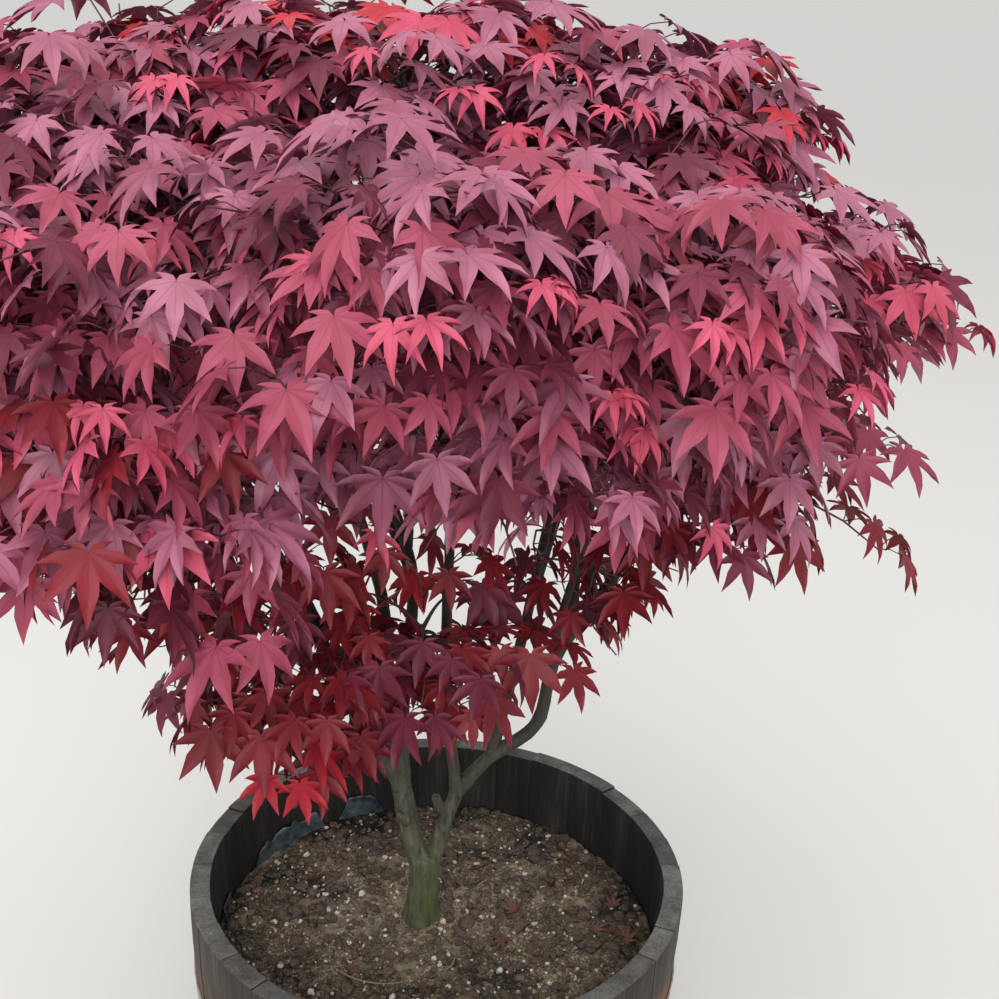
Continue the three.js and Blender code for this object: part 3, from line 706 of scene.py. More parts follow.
def swollen(z, turn):
    """The trunk's radius at a height, with the swelling of four roots at its foot."""
    flare = max(0.0, 1 - (z - TRUNK_BASE) / FLARE_HEIGHT) ** 2
    root = 0.6 + 0.4 * math.cos(4 * turn)
    taper = TRUNK_TAPER * min(1.0, (z - TRUNK_BASE) / TRUNK_RISE)
    return TRUNK_RADIUS - taper + ROOT_FLARE * min(flare, 1.4) * root


def trunk_form(rows=26, sides=40):
    points = [(*TRUNK_FOOT, TRUNK_BOTTOM)]
    for row in range(rows):
        z = TRUNK_BOTTOM + (TRUNK_TOP - TRUNK_BOTTOM) * row / (rows - 1)
        lean = TRUNK_LEAN * (z - TRUNK_BASE) / TRUNK_RISE
        for side in range(sides):
            turn = 2 * math.pi * side / sides
            radius = swollen(max(z, TRUNK_BASE + 0.0005), turn) * (0.8 if row == rows - 1 else 1)
            x, y = off(radius, turn)
            points.append((TRUNK_FOOT[0] + lean + x, TRUNK_FOOT[1] + y, z))
    points.append((TRUNK_FOOT[0] + TRUNK_LEAN, TRUNK_FOOT[1], TRUNK_TOP + 0.003))
    return np.array(points), tube_faces(rows, sides)


def fuse(piece):
    """Grows overlapping limbs into one skin, rounded where they meet."""
    skin = piece.modifiers.new("skin", "REMESH")
    skin.mode = "VOXEL"
    skin.voxel_size = 0.0017
    even = piece.modifiers.new("even", "SMOOTH")
    even.factor = 0.6
    even.iterations = 5
    bpy.context.view_layer.update()
    fused = piece.evaluated_get(bpy.context.evaluated_depsgraph_get())
    mesh = bpy.data.meshes.new_from_object(fused)
    piece.modifiers.clear()
    piece.data = mesh
    return mesh


def add_trunk():
    parts = [trunk_form()]
    for name, (_, foot_radius, tip_radius) in STEMS.items():
        start = limbs[name][0] + mm(2 if name == "stem_left" else -3, 0, -34)
        line = smooth_line([start, *even_points(limbs[name], np.linspace(0, 1, 5))], 40)
        parts.append(tube(line, np.linspace(foot_radius, tip_radius, 40) / 1000, 24))
    parts.append(tube(smooth_line([mm(*p) for p in STUB], 10), np.linspace(0.0085, 0.006, 10), 16))
    parts.append(tube(smooth_line([mm(*p) for p in KNOT], 6), np.linspace(0.009, 0.0045, 6), 14))
    points, faces = joined(parts)
    mesh = fuse(add_piece("trunk_and_stems", points, faces, BARK, "bark", ["trunk", *STEMS]))
    for vertex in mesh.vertices:
        p = vertex.co
        ridge = noise.fractal(Vector((150 * p.x, 150 * p.y, 22 * p.z)), 0.9, 2.0, 4)
        lump = noise.noise(Vector((38 * p.x, 38 * p.y, 24 * p.z)))
        vertex.co = p + vertex.normal * (0.0009 * ridge + 0.0014 * lump)
    smooth(mesh)
    mesh.update()


add_trunk()

# The boughs
# Each is one tapering limb that leaves a stem or another bough, rises through the bends that
# pruning gave it and arches over to the mass of leaves that it carries.

MASSES = {  # centre in mm, and reach across the widest
    "top_left": (-295, 20, 1240, 190), "crown_top": (-60, 60, 1305, 200),
    "top_right": (150, 30, 1255, 180), "left_upper": (-480, -10, 1125, 185),
    "front_upper_left": (-265, -215, 1165, 190), "front_upper_middle": (-35, -250, 1180, 190),
    "front_upper_right": (165, -185, 1165, 175), "right_upper": (305, 0, 1118, 172),
    "back_right": (200, 240, 1130, 190), "back_middle": (-40, 295, 1155, 195),
    "back_left": (-300, 240, 1135, 195), "left_lower": (-450, -70, 985, 175),
    "front_left": (-235, -240, 1015, 175), "front_right": (65, -205, 1060, 153),
    "right_lower": (247, -35, 1006, 140), "back_low_right": (200, 230, 985, 160),
    "back_low_left": (-225, 250, 975, 175), "skirt_left": (-155, -90, 755, 105),
    "skirt_centre": (-25, -50, 760, 92), "skirt_right": (148, 0, 835, 85),
}
BOUGHS = {  # parent, how far along, radius there, bends
    "left_upper": ("stem_left", 1, 9, (-91, 0, 602), (-129, -20, 683), (-150, -30, 760)),
    "top_left": ("stem_left", 1, 8.5, (-68, 24, 640), (-79, 30, 767)),
    "back_left": ("stem_left", 0.95, 8, (-50, 50, 640), (-48, 80, 780)),
    "crown_top": ("stem_right", 1, 7, (4, 42, 600), (-1, 40, 738), (-1, 40, 848)),
    "right_upper": ("stem_right", 1, 9, (57, 50, 536), (111, 55, 580), (130, 55, 671), (198, 40, 803)),
    "back_right": ("right_upper", 0.1, 7, (82, 80, 641), (92, 95, 689)),
    "top_right": ("right_upper", 0.42, 7, (150, 70, 811), (160, 70, 864)),
    "front_upper_left": ("top_left", 0.5, 6),
    "front_upper_middle": ("crown_top", 0.6, 6),
    "front_upper_right": ("top_right", 0.3, 6),
    "back_middle": ("back_left", 0.45, 6),
    "right_lower": ("right_upper", 0.6, 6),
    "front_right": ("right_upper", 0.5, 6),
    "front_left": ("left_upper", 0.5, 6),
    "left_lower": ("left_upper", 0.42, 6.5),
    "back_low_right": ("back_right", 0.35, 6),
    "back_low_left": ("back_left", 0.4, 6),
    "skirt_left": ("left_upper", 0.2, 6),
    "skirt_centre": ("top_left", 0.1, 5.5),
    "skirt_right": ("right_upper", 0.3, 5.5),
}
BOUGH_TIP_RADIUS = 0.0045
BOUGH_ENDS_AT = 0.55
BOUGH_ARCH = 0.12
FLATNESS = 1.35  # width over height of a mass's space
SQUASH = np.array([1, 1, FLATNESS])
BOUGH_SEGMENT = 0.009
BOUGH_KNOTS = 0.1
COLLAR = 0.02  # the length over which a bough's foot narrows


def centre_of(mass):
    return mm(*MASSES[mass][:3])


def reach_of(mass):
    return MASSES[mass][3] / 1000


def add_bough(mass, parent, at, radius, *bends):
    """A limb from a share of its parent's length, through its bends, over to its mass."""
    points = [even_points(limbs[parent], [at])[0], *(mm(*bend) for bend in bends)]
    centre = centre_of(mass)
    away = points[-1] - centre
    end = centre + away * BOUGH_ENDS_AT * reach_of(mass) / np.linalg.norm(away * SQUASH)
    stretch = np.linalg.norm(end - points[-1])
    points += [(points[-1] + end) / 2 + (0, 0, BOUGH_ARCH * stretch), end]
    limbs[mass] = smooth_line(points, 129)
    length = np.linalg.norm(np.diff(limbs[mass], axis=0), axis=1).sum()
    count = max(12, int(length / BOUGH_SEGMENT))
    line = even_points(limbs[mass], np.linspace(0, 1, count))
    radii = np.linspace(radius / 1000, BOUGH_TIP_RADIUS, count)
    radii *= 1 + BOUGH_KNOTS * np.maximum(0, np.sin(np.arange(count) * 0.9)) ** 6
    widest = 1.04 * STEMS[parent][2] if parent in STEMS else 1.25 * radius
    radii += (widest - radius) / 1000 * np.exp(-np.linspace(0, length, count) / COLLAR)
    if parent in STEMS:
        line = np.vstack([even_points(limbs[parent], [at - 0.07]), line])
        radii = np.concatenate([radii[:1], radii])
    points, faces = tube(line, radii, 12, rough=0.08)
    add_piece(f"limb_{mass}", points, faces, BARK, "bark", [f"bough_{mass}"])


for mass_name, route in BOUGHS.items():
    add_bough(mass_name, *route)

# The foliage
# Each bough goes on as a stem with side twigs all round it. Young shoots stand on them, and carry
# the leaves in opposite pairs, each blade hanging from its stalk with its lobes spread.

CROWN_MIDDLE = mm(-20, 10, 980)
STEM_RADII = [0.006, 0.0054, 0.0049, 0.0044]
TWIG_RADII = [0.0032, 0.0026, 0.002]
SIDE_TWIGS = 5
TWIG_LEAN = math.radians(62)
TWIG_REACH = 0.66
GOLDEN_ANGLE = math.pi * (3 - math.sqrt(5))


def unit(v):
    return v / np.linalg.norm(v)


def seeded_random(seed):
    """A stand-in for chance, the same in every run."""
    state = seed & 0xFFFFFFFF

    def draw():
        nonlocal state
        state = (state + 0x6D2B79F5) & 0xFFFFFFFF
        t = ((state ^ (state >> 15)) * (state | 1)) & 0xFFFFFFFF
        t ^= (t + (((t ^ (t >> 7)) * (t | 61)) & 0xFFFFFFFF)) & 0xFFFFFFFF
        return (t ^ (t >> 14)) / 4294967296

    return draw


def space_of(mass):
    """The flat faces that part one mass's space from the others, as normals and distances."""
    here = centre_of(mass) * SQUASH
    normals, distances = [], []
    for other in MASSES:
        if other == mass:
            continue
        there = centre_of(other) * SQUASH
        normal = (there - here) * SQUASH
        size = (there @ there - reach_of(other) ** 2) - (here @ here - reach_of(mass) ** 2)
        length = np.linalg.norm(normal)
        normals.append(normal / length)
        distances.append(size / 2 / length)
    return np.array(normals), np.array(distances)


def room_inside(space, point):
    normals, distances = space
    return float(np.min(distances - normals @ point))


def turned_round(v, axis, angle):
    c, s = math.cos(angle), math.sin(angle)
    return v * c + np.cross(axis, v) * s + axis * (axis @ v) * (1 - c)


def grow_twigs(mass, space, draw):
    """The stem and side twigs of a mass, as the source lays them out."""
    line, centre, reach = limbs[mass], centre_of(mass), reach_of(mass)
    along = unit(line[-1] - line[-3])
    root = line[-1] + 0.0003 * along
    outward = unit(centre - CROWN_MIDDLE)
    stem = [root, root + 0.15 * reach * along, centre, centre + 0.42 * reach * outward]
    twigs = [stem]
    curve = smooth_line(stem, 101)
    for k in range(SIDE_TWIGS):
        at = 0.3 + 0.65 * (k + 0.5 * draw()) / SIDE_TWIGS
        start = even_points(stem, [at])[0]
        way = unit(even_points(curve, [at + 0.01])[0] - even_points(curve, [at - 0.01])[0])
        spin = k * GOLDEN_ANGLE + 0.5 * draw()
        side = turned_round(unit(np.cross([0, 0, 1], way)), way, spin)
        aim = way * math.cos(TWIG_LEAN) + side * math.sin(TWIG_LEAN)
        away = start + aim * reach - centre
        end = centre + away * TWIG_REACH * reach / np.linalg.norm(away * SQUASH)
        if room_inside(space, end) < 0.003:
            continue
        twigs.append([start, (start + end) / 2 + (0, 0, 0.08 * reach), end])
    return twigs


SHOOTS_PER_MASS = 48
FULL_REACH = 0.19
MORE_ABOVE = 1.2
MORE = 1.6
FOOT_TRIES = 24


def shoots_wanted(mass):
    """As many as the mass has skin for, and more high up, where the crown is thickest."""
    more = MORE if centre_of(mass)[2] > MORE_ABOVE else 1
    return round(SHOOTS_PER_MASS * (reach_of(mass) / FULL_REACH) ** 2 * more)


def grow_feet(mass, space, twigs, draw):
    """Places for shoots: of several tries the one furthest from the others, outer side first."""
    centre, reach = centre_of(mass), reach_of(mass)
    outward = unit(centre - CROWN_MIDDLE)
    starts = np.vstack([even_points(line, [0.3, 0.45, 0.6, 0.75, 0.9, 0.985]) for line in twigs])
    feet = []
    for _ in range(shoots_wanted(mass)):
        best = None
        for _ in range(FOOT_TRIES):
            size = 0.9 * reach * (0.08 + 0.92 * draw()) ** (1 / 3)
            tilt, turn = 1 - 2 * draw(), 2 * math.pi * draw()
            flat = math.sqrt(1 - tilt * tilt)
            away = np.array([flat * math.sin(turn), flat * math.cos(turn), tilt / FLATNESS]) * size
            foot = centre + away
            gaps = np.linalg.norm(starts - foot, axis=1)
            if not 0.02 < gaps.min() < 0.13 or room_inside(space, foot) < 0.004:
                continue
            others = min((np.linalg.norm(foot - other) for other, _ in feet), default=reach)
            worth = others * (1 + 0.5 * (unit(foot - centre) @ outward))
            if best is None or worth > best[0]:
                best = (worth, foot, starts[gaps.argmin()])
        if best:
            feet.append(best[1:])
    return feet


# Turn in degrees and length of each of a blade's seven lobes, which are wide in their middle and drawn
# out to a point.
LOBES = [(-116, 0.34), (-78, 0.64), (-39, 0.9), (0, 1.0), (39, 0.9), (78, 0.64), (116, 0.34)]


def blade(droop, fold, width, notch, twist=0.0):
    """Points, triangles and midrib values of a blade of length 1, its middle lobe along X."""
    flat = [(0.0, 0.0)]
    rib = [1.0]

    def put(x, y, value):
        flat.append((x, y))
        rib.append(value)
        return len(flat) - 1

    def polar(turn, radius, value):
        return put(*off(radius, math.radians(turn)), value)

    turns = [turn for turn, _ in LOBES]
    sizes = [size for _, size in LOBES]
    notches = [polar(-152, 0.1, 0)]
    for k in range(len(LOBES) - 1):
        depth = notch * (sizes[k] + sizes[k + 1]) / 2
        notches.append(polar((turns[k] + turns[k + 1]) / 2, depth, 0))
    notches.append(polar(152, 0.1, 0))
    triangles = []
    for k, (turn, size) in enumerate(LOBES):
        way = np.array(off(1, math.radians(turn)))
        across = np.array([-way[1], way[0]])
        at = lambda u, v, value: put(*(way * u * size + across * v * size), value)
        middle, upper, tip = at(0.55, 0, 1), at(0.8, 0, 1), at(1, 0, 0.6)
        for side, corner in ((1, notches[k + 1]), (-1, notches[k])):
            broad, narrow = at(0.56, side * width, 0), at(0.79, side * width * 0.5, 0)
            half = [(0, broad, corner), (0, middle, broad), (middle, narrow, broad)]
            half += [(middle, upper, narrow), (upper, tip, narrow)]
            triangles += half if side == 1 else [t[::-1] for t in half]
    flat, rib = np.array(flat), np.array(rib)
    reach = np.hypot(*flat.T)
    z = fold * (1 - rib) * (0.25 + 0.75 * reach) - droop * reach**2
    z += twist * flat[:, 0] * flat[:, 1]
    shrink = 1 - 0.35 * droop * reach
    points = np.stack([flat[:, 0] * shrink, flat[:, 1] * shrink, z], axis=1)
    return points, np.array(triangles), rib


GROWN = [
    blade(0.16, 0.06, 0.138, 0.42, 0.1),
    blade(0.27, 0.08, 0.13, 0.42, -0.14),
    blade(0.38, 0.05, 0.142, 0.42, 0.05),
    blade(0.22, 0.1, 0.125, 0.42, 0.22),
]
YOUNG = [blade(0.35, 0.14, 0.105, 0.36, 0.12), blade(0.5, 0.12, 0.11, 0.36, -0.18)]


def leaf_frame(heading, hang, roll):
    """Rows are the blade's own X, Y and Z after it is rolled, hung and turned."""
    ch, sh = math.cos(heading), math.sin(heading)
    cp, sp = math.cos(hang), math.sin(hang)
    cr, sr = math.cos(roll), math.sin(roll)
    x = np.array([cp * ch, cp * sh, -sp])
    y = np.array([-sh, ch, 0])
    z = np.cross(x, y)
    return np.array([x, y * cr + z * sr, z * cr - y * sr])


class Leaves:
    """Blades of one tint, gathered until they are joined into one piece."""

    def __init__(self):
        self.points, self.faces, self.ribs = [], [], []
        self.count = 0

    def add(self, shape, axes, foot, size):
        points, triangles, rib = shape
        self.points.append(points * size @ axes + foot)
        self.faces.append(triangles + self.count)
        self.ribs.append(rib)
        self.count += len(points)

    def piece(self, name, material, slot, nodes=()):
        made = add_piece(name, np.vstack(self.points), np.vstack(self.faces), material, slot, nodes)
        values = made.data.attributes.new("rib", "FLOAT", "POINT")
        values.data.foreach_set("value", np.concatenate(self.ribs).astype(np.float32))
        return made


LOW_CORNER = np.array(cad_box[0]) - AXIS
HIGH_CORNER = np.array(cad_box[1]) - AXIS
LEAF_ROOM = np.array([0.06, 0.06, 0.021])  # kept free round the end of a shoot, for its leaves
TIPS_ABOVE = 1.38  # how far leaves reach out of a mass, as a share of its reach
TIPS_BELOW = {"skirt_left": 2.3, "skirt_centre": 2.5, "skirt_right": 1.75}
TIPS_BELOW.update({"right_lower": 1.75, "right_upper": 1.25})
TIPS_BELOW_OTHERS = 1.6
OPEN_PLACE = (-0.03, 0.2)  # left and right of the bare stems
OPEN_MIDDLE = (0.055, 0.135)
OPEN_TOP = 0.81
OPEN_MIDDLE_TOP = 0.85
OPEN_SLOPE = 0.43


def allowed(point):
    """Whether leaves on a shoot that ends here stay within the crown's reach."""
    inside = np.all(point[:2] > LOW_CORNER[:2] + LEAF_ROOM[:2])
    return bool(inside and np.all(point < HIGH_CORNER - LEAF_ROOM))


def in_crown(tip, mass):
    """Whether a leaf's tip keeps near its mass and clear of the open place round the stems."""
    away = (tip - centre_of(mass)) * SQUASH / reach_of(mass)
    below = TIPS_BELOW.get(mass, TIPS_BELOW_OTHERS)
    if np.linalg.norm(away) > (TIPS_ABOVE if away[2] > -0.3 else below):
        return False
    top = OPEN_MIDDLE_TOP if OPEN_MIDDLE[0] < tip[0] < OPEN_MIDDLE[1] else OPEN_TOP
    in_open_place = OPEN_PLACE[0] < tip[0] < OPEN_PLACE[1] and tip[2] < top - OPEN_SLOPE * tip[1]
    return mass.startswith("skirt") or not in_open_place


LEAF_COLOURS = {  # the blade, its darker patches and its ribs
    # This dusty purple is partly the leaves' own colour and partly a painted bluish sky sheen.
    "mauve": ((0.325, 0.098, 0.156), (0.215, 0.048, 0.082), (0.19, 0.036, 0.064)),
    "rose": ((0.31, 0.056, 0.096), (0.215, 0.031, 0.055), (0.2, 0.027, 0.048)),
    "pink": ((0.47, 0.074, 0.132), (0.37, 0.042, 0.076), (0.33, 0.034, 0.06)),
    # This bright red is painted light: leaves with the sun shining through them.
    "scarlet": ((0.42, 0.024, 0.038), (0.29, 0.014, 0.023), (0.25, 0.013, 0.02)),
    # This dark red is partly the leaves' own colour and partly painted shade, for leaves low in the
    # crown.
    "wine": ((0.19, 0.013, 0.021), (0.115, 0.007, 0.012), (0.12, 0.007, 0.011)),
    # This darkest red is painted shade, for leaves deep inside the crown.
    "deep": ((0.15, 0.021, 0.042), (0.09, 0.012, 0.024), (0.085, 0.011, 0.02)),
}
leaves = {tint: Leaves() for tint in LEAF_COLOURS}
stalks = []
shoots = []
LEAF_LENGTH = (0.047, 0.065)
YOUNG_LENGTH = 0.78
YOUNG_SHARE = 0.14
YOUNG_ABOVE = 0.85
STALK_RADII = [0.0008, 0.0007, 0.0006]
SHOOT_RADII = (0.0017, 0.0008)
BARE_START = 0.055  # a shoot longer than this before its foot has leaves there too


def tint_for(foot, rng):
    """The tint of a shoot's leaves, by where it stands in the crown: the dark reds paint shade low and
    inside the crown, the bright red paints sun shining through leaves, and the purple carries a painted
    sky sheen.
    """
    x, y, z = foot
    # In the skirts and on the lower edge the dark reds are painted shade, and the bright red is painted
    # light through leaves.
    if z < 0.87:  # the skirts, in the shade
        shares = {"wine": 0.64, "scarlet": 0.12, "deep": 0.24}
    elif z < 0.98 and x > -0.3:  # the crown's lower edge
        shares = {"wine": 0.42, "rose": 0.3, "mauve": 0.08, "deep": 0.2}
    elif x < -0.1 and y < -0.05 and z < 1.1:  # the left front
        shares = {"rose": 0.46, "mauve": 0.3, "pink": 0.07, "wine": 0.17}
    # At the top and far left the bright red is painted light through leaves, and the purple carries a
    # painted sky sheen.
    elif z > 1.16 and y > -0.02 or x < -0.45 and y > -0.08:  # the top and the far left
        shares = {"mauve": 0.54, "rose": 0.23, "scarlet": 0.23}
    else:
        shares = {"mauve": 0.52, "rose": 0.3, "pink": 0.04, "deep": 0.14}
    return rng.choices(list(shares), list(shares.values()))[0]


def hang_for(foot, rng):
    """How far a blade hangs below the level, which grows towards the foot of the crown."""
    steep = min(1.0, max(0.0, (1.34 - foot[2]) / 0.3))
    level = 24 if foot[1] < 0.08 else 12
    return math.radians(level + (45 - level) * steep + rng.uniform(-12, 14))


def add_leaf(node, heading, lift, tint, mass, rng, size, young, free):
    """A blade on its stalk: the stalk rises a little from the shoot, and the blade hangs."""
    stalk = rng.uniform(0.024, 0.044) * size / 0.062
    foot = node + np.array([*off(1, heading), lift]) * stalk
    axes = leaf_frame(heading + rng.uniform(-0.3, 0.3), hang_for(foot, rng), rng.uniform(-0.3, 0.3))
    if not free and not in_crown(foot + size * axes[0], mass):
        return
    leaves[tint].add(rng.choice(YOUNG if young else GROWN), axes, foot, size)
    middle = (node + foot) / 2 + (0, 0, 0.1 * stalk)
    stalks.append(tube([node, middle, foot + 0.02 * size * axes[0]], STALK_RADII, 3))


def add_shoot(line, way, mass, rng, free=False):
    """A young shoot with opposite leaves from its third point on; free lets them leave the mass."""
    shoots.append(tube(line, np.linspace(*SHOOT_RADII, len(line)), 4))
    tint = tint_for(line[2], rng)
    base = math.atan2(way[1], way[0])
    nodes = line[2:]
    if np.linalg.norm(line[2] - line[0]) > BARE_START and not free:
        nodes = [line[1], *nodes]
    for k, node in enumerate(nodes):
        last = k == len(nodes) - 1
        young = last and rng.random() < YOUNG_SHARE and node[2] > YOUNG_ABOVE
        spread = rng.uniform(*((0.3, 0.5) if young else (0.55, 0.85) if last else (0.95, 1.5)))
        size = rng.uniform(*LEAF_LENGTH) * (YOUNG_LENGTH if young else 1)
        for side in (-1, 1):
            heading = base + side * spread + rng.uniform(-0.2, 0.2)
            lift = rng.uniform(0, 0.4)
            own = size * rng.uniform(0.85, 1.12)
            add_leaf(node, heading, lift, "pink" if young else tint, mass, rng, own, young, free)


def grow_shoot(foot, start, mass, rng):
    """A shoot from its twig through the foot and on, away from the crown's middle."""
    outward = foot - CROWN_MIDDLE
    outward[2] *= 0.25
    flat = foot - start
    flat[2] *= 0.4
    way = unit(unit(flat) + 0.9 * unit(outward))
    line = [start, (start + foot) / 2 + (0, 0, 0.12 * np.linalg.norm(foot - start)), foot]
    for _ in range(rng.randint(1, 2)):
        way = unit(way + np.array([rng.uniform(-0.25, 0.25), rng.uniform(-0.25, 0.25), -0.08]))
        line.append(line[-1] + way * rng.uniform(0.026, 0.042))
    if not allowed(line[-1]):
        line = [p for p in line if allowed(p)]
    if len(line) > 2:
        add_shoot(line, way, mass, rng)


def grow_mass(i, mass):
    """One mass's twigs, returned, and its shoots with their leaves."""
    draw = seeded_random(1021 + 37 * i)
    rng = random.Random(500 + i)
    space = space_of(mass)
    twigs = grow_twigs(mass, space, draw)
    parts = []
    at = np.linspace(0, 1, 16)
    for k, line in enumerate(twigs):
        radii = STEM_RADII if k == 0 else TWIG_RADII
        radii = np.interp(at, np.linspace(0, 1, len(radii)), radii) * (1 - 0.5 * at)
        parts.append(tube(smooth_line(line, 16), radii, 6))
    feet = grow_feet(mass, space, twigs, draw)
    feet += [(line[-1] + 0.02 * unit(line[-1] - line[-2]), line[-1]) for line in twigs]
    for foot, start in feet:
        grow_shoot(foot, start, mass, rng)
    return parts


twigs = [part for i, mass_name in enumerate(MASSES) for part in grow_mass(i, mass_name)]
add_piece("twigs", *joined(twigs), BARK, "bark")

LONG_SHOOTS = (  # the mass, where the shoot leaves it and where it ends, in mm, and its joints
    ("right_upper", (395, -10, 1098), (532, -10, 1106), 5),
    ("right_upper", (370, -30, 1040), (450, -30, 985), 4),
    ("right_lower", (330, -40, 935), (470, -30, 868), 4),
    ("right_upper", (370, 10, 1180), (415, 10, 1225), 4),
    ("top_right", (260, 10, 1270), (345, 10, 1292), 4),
    ("top_right", (230, 20, 1310), (295, 20, 1338), 4),
    ("front_left", (-190, -300, 960), (-160, -380, 905), 4),
    ("front_left", (-170, -150, 900), (-115, -185, 885), 4),
    ("skirt_left", (-120, -80, 790), (-125, -120, 850), 4),
    ("skirt_left", (-90, -50, 800), (-60, -80, 862), 4),
    ("skirt_left", (-250, -110, 790), (-300, -150, 800), 4),
    ("skirt_left", (-150, -120, 690), (-115, -180, 668), 4),
    ("right_lower", (290, -60, 950), (345, -90, 905), 4),
    ("right_lower", (250, -90, 945), (290, -130, 898), 4),
    ("front_left", (-150, -200, 965), (-75, -230, 948), 4),
    ("skirt_centre", (-25, -50, 795), (20, -62, 852), 4),
)


def add_long_shoots():
    """Single shoots that stand out from the crown, with a pair of leaves at each joint."""
    rng = random.Random(77)
    for mass, start, end, joints in LONG_SHOOTS:
        start, end = mm(*start), mm(*end)
        rise = (0, 0, 0.1 * np.linalg.norm(end - start))
        line = smooth_line([start, (start + end) / 2 + rise, end], joints)
        add_shoot(line, end - start, mass, rng, free=True)


add_long_shoots()


def make_leaf(name, main, shade, rib, roughness=0.5, specular=0.3):
    material = new_material(name, roughness, specular=specular)
    patches = add_noise(material, 16, 3, 0.55)
    colour = add_ramp(material, patches, (0.34, shade), (0.62, main))
    ribs = add_node(material, "ShaderNodeAttribute", {}, output="Fac", attribute_name="rib")
    line = add_ramp(material, ribs, (0.86, 0.0), (0.97, 0.6))
    colour = add_mix(material, line, colour, rib)
    link_shader(material, "Base Color", colour)
    return material


LEAF_NODES = [f"leaves_{mass}" for mass in MASSES]
for tint_name, (main, shade, rib_colour) in LEAF_COLOURS.items():
    gloss = 0.45 if tint_name == "mauve" else 0.25
    leaf_material = make_leaf(f"leaf_{tint_name}", main, shade, rib_colour, specular=gloss)
    leaves[tint_name].piece(f"leaves_{tint_name}", leaf_material, "leaves", LEAF_NODES)
shoot_bark = speckled("shoot_bark", 0.6, (0.05, 0.012, 0.016), (0.12, 0.03, 0.035), 200)
add_piece("leaf_stalks", *joined(stalks), shoot_bark, "bark")
add_piece("shoots", *joined(shoots), shoot_bark, "bark")

# The fallen leaves and the dry stalks
# They lie where the wind left them, the leaves curled and brown, most of them against the staves.
# One stalk is long and bent, the others are scraps.

DEAD = [blade(-0.5, 0.2, 0.15, 0.4, 0.4), blade(0.8, 0.25, 0.14, 0.4, -0.5)]
DEAD_LENGTH = (0.01, 0.021)
AGAINST_STAVES = 12
ELSEWHERE = 14
LONG_STALK = ((-0.111, -0.099), (-0.09, -0.116), (-0.065, -0.121), (-0.04, -0.117), (-0.022, -0.106))
SCRAPS = 14
SCRAP_LENGTH = (0.008, 0.02)


def add_fallen_leaves(rng):
    brown = make_leaf("leaf_fallen", (0.15, 0.065, 0.05), (0.07, 0.032, 0.025), (0.1, 0.045, 0.035), 0.7)
    fallen = Leaves()
    spots = [(rng.uniform(0.19, 0.25), rng.uniform(-0.15, 0.75)) for _ in range(AGAINST_STAVES)]
    spots += [(rng.uniform(0.05, 0.25), rng.uniform(0, 2 * math.pi)) for _ in range(ELSEWHERE)]
    for radius, turn in spots:
        x, y = off(radius, turn)
        axes = leaf_frame(rng.uniform(0, 6.3), rng.uniform(-0.3, 0.3), rng.uniform(-0.5, 0.5))
        size = rng.uniform(*DEAD_LENGTH)
        fallen.add(rng.choice(DEAD), axes, np.array([x, y, soil_height(x, y) + 0.3 * size]), size)
    fallen.piece("fallen_leaves", brown, "leaves")


def lying(places, lift):
    """A thin stalk over places on the soil, a little above it."""
    line = smooth_line([(x, y, soil_height(x, y) + lift) for x, y in places], 16)
    return tube(line, np.linspace(0.001, 0.0006, 16), 5)


def add_dry_stalks(rng):
    straw = speckled("dry_stalks", 0.8, (0.16, 0.12, 0.09), (0.34, 0.28, 0.22))
    parts = [lying(LONG_STALK, 0.008)]
    for _ in range(SCRAPS):
        radius, turn, way = rng.uniform(0.04, 0.24), rng.uniform(0, 6.3), rng.uniform(0, 6.3)
        size = rng.uniform(*SCRAP_LENGTH)
        x, y = off(radius, turn)
        far_x, far_y = off(size, way)
        far_x, far_y = x + far_x, y + far_y
        bend = ((x + far_x) / 2 + 0.003, (y + far_y) / 2)
        parts.append(lying([(x, y), bend, (far_x, far_y)], 0.004))
    add_piece("dry_stalks", *joined(parts), straw, "potting_soil")


chance = random.Random(91)
add_fallen_leaves(chance)
add_dry_stalks(chance)

# The studio
# A plain pale floor under a bright even sky, with a large soft lamp overhead and one in front,
# seen from where the photograph was taken.

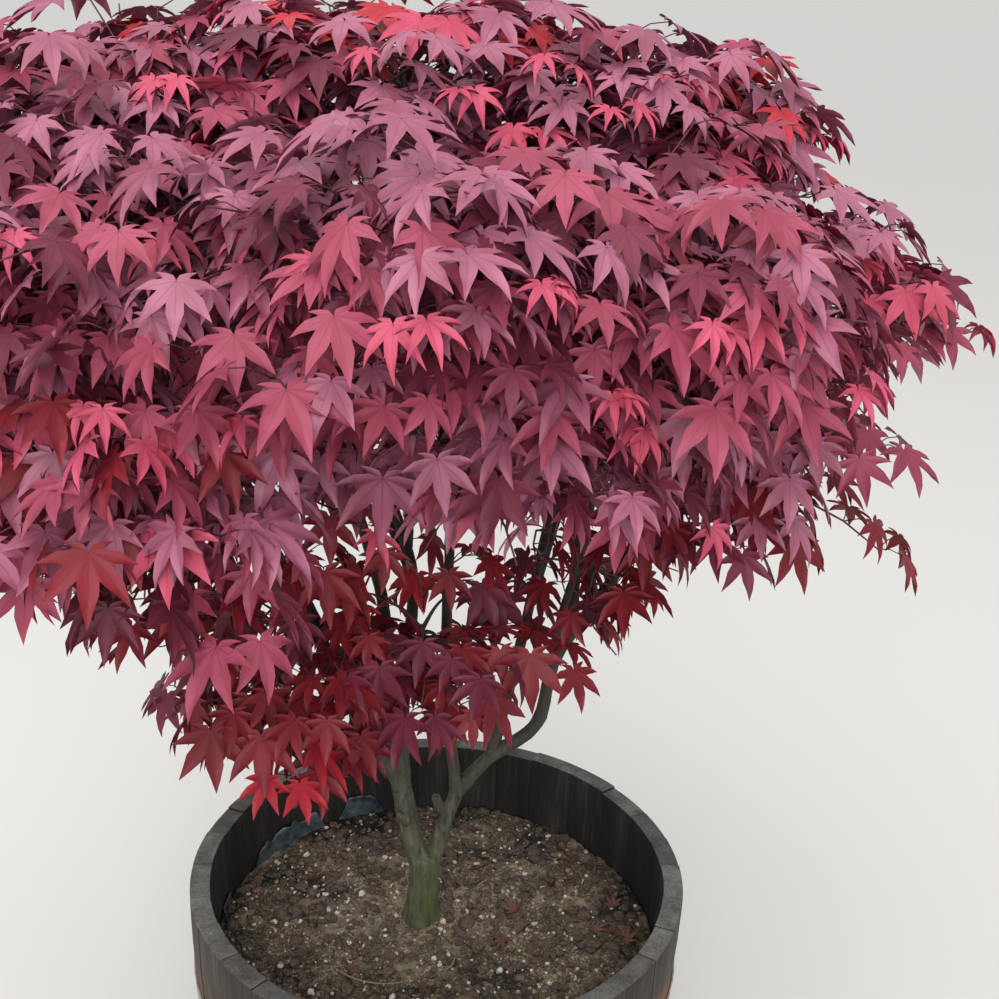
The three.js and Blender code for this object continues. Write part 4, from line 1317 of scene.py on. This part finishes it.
FLOOR_COLOUR = (0.63, 0.61, 0.57)
HORIZON = (0.626, 0.62, 0.6)
SKY = (0.98, 1.0, 1.04)
SKY_STRENGTH = 1.05
LAMPS = (  # name, place, what it points at, width and power
    ("overhead", (-1.0, -1.6, 4.2), (0, 0, 0.9), 3.5, 90),
    ("front_fill", (0.5, -6.0, 3.2), (0, 0, 0.8), 4.0, 250),
)
CAMERA_PLACE = (0.055, -1.376, 1.410)
CAMERA_LENS = 47.82
CAMERA_RIGHT = Vector((0.9990, 0.01554, 0.0415))
CAMERA_DOWN = Vector((0.0443, -0.3503, -0.9356))
CAMERA_AHEAD = Vector((0, 0.9365, -0.3507))


def add_floor():
    mesh = bpy.data.meshes.new("floor")
    corners = [(-600, -600, 0), (600, -600, 0), (600, 1200, 0), (-600, 1200, 0)]
    mesh.from_pydata(corners, [], [(0, 1, 2, 3)])
    floor = bpy.data.objects.new("floor", mesh)
    bpy.context.scene.collection.objects.link(floor)
    material = new_material("floor", 0.9, specular=0.2)
    shader = material.node_tree.nodes["Principled BSDF"]
    shader.inputs["Base Color"].default_value = (*FLOOR_COLOUR, 1)
    mesh.materials.append(material)


def add_sky():
    world = bpy.data.worlds.new("sky")
    world.use_nodes = True
    sky = world.node_tree.nodes["Background"].inputs
    sky["Strength"].default_value = SKY_STRENGTH
    way = add_node(world, "ShaderNodeTexCoord", {}, output="Generated")
    height = add_node(world, "ShaderNodeSeparateXYZ", {0: way}, output="Z")
    colour = add_ramp(world, height, (0.02, HORIZON), (0.35, SKY))
    world.node_tree.links.new(colour, sky["Color"])
    bpy.context.scene.world = world


def add_lamps():
    for name, place, aim, width, power in LAMPS:
        lamp = bpy.data.objects.new(name, bpy.data.lights.new(name, "AREA"))
        lamp.data.size = width
        lamp.data.energy = power
        lamp.location = place
        lamp.rotation_mode = "QUATERNION"
        lamp.rotation_quaternion = (Vector(aim) - Vector(place)).to_track_quat("-Z", "Y")
        bpy.context.scene.collection.objects.link(lamp)


def add_camera():
    camera = bpy.data.objects.new("camera", bpy.data.cameras.new("camera"))
    camera.data.sensor_width = 36
    camera.data.lens = CAMERA_LENS
    camera.data.clip_end = 3000
    turn = Matrix((CAMERA_RIGHT, -CAMERA_DOWN, -CAMERA_AHEAD)).transposed().to_4x4()
    camera.matrix_world = Matrix.Translation(Vector(AXIS) + Vector(CAMERA_PLACE)) @ turn
    bpy.context.scene.collection.objects.link(camera)
    bpy.context.scene.camera = camera


add_floor()
add_sky()
add_lamps()
add_camera()
bpy.context.scene.view_settings.view_transform = "Standard"
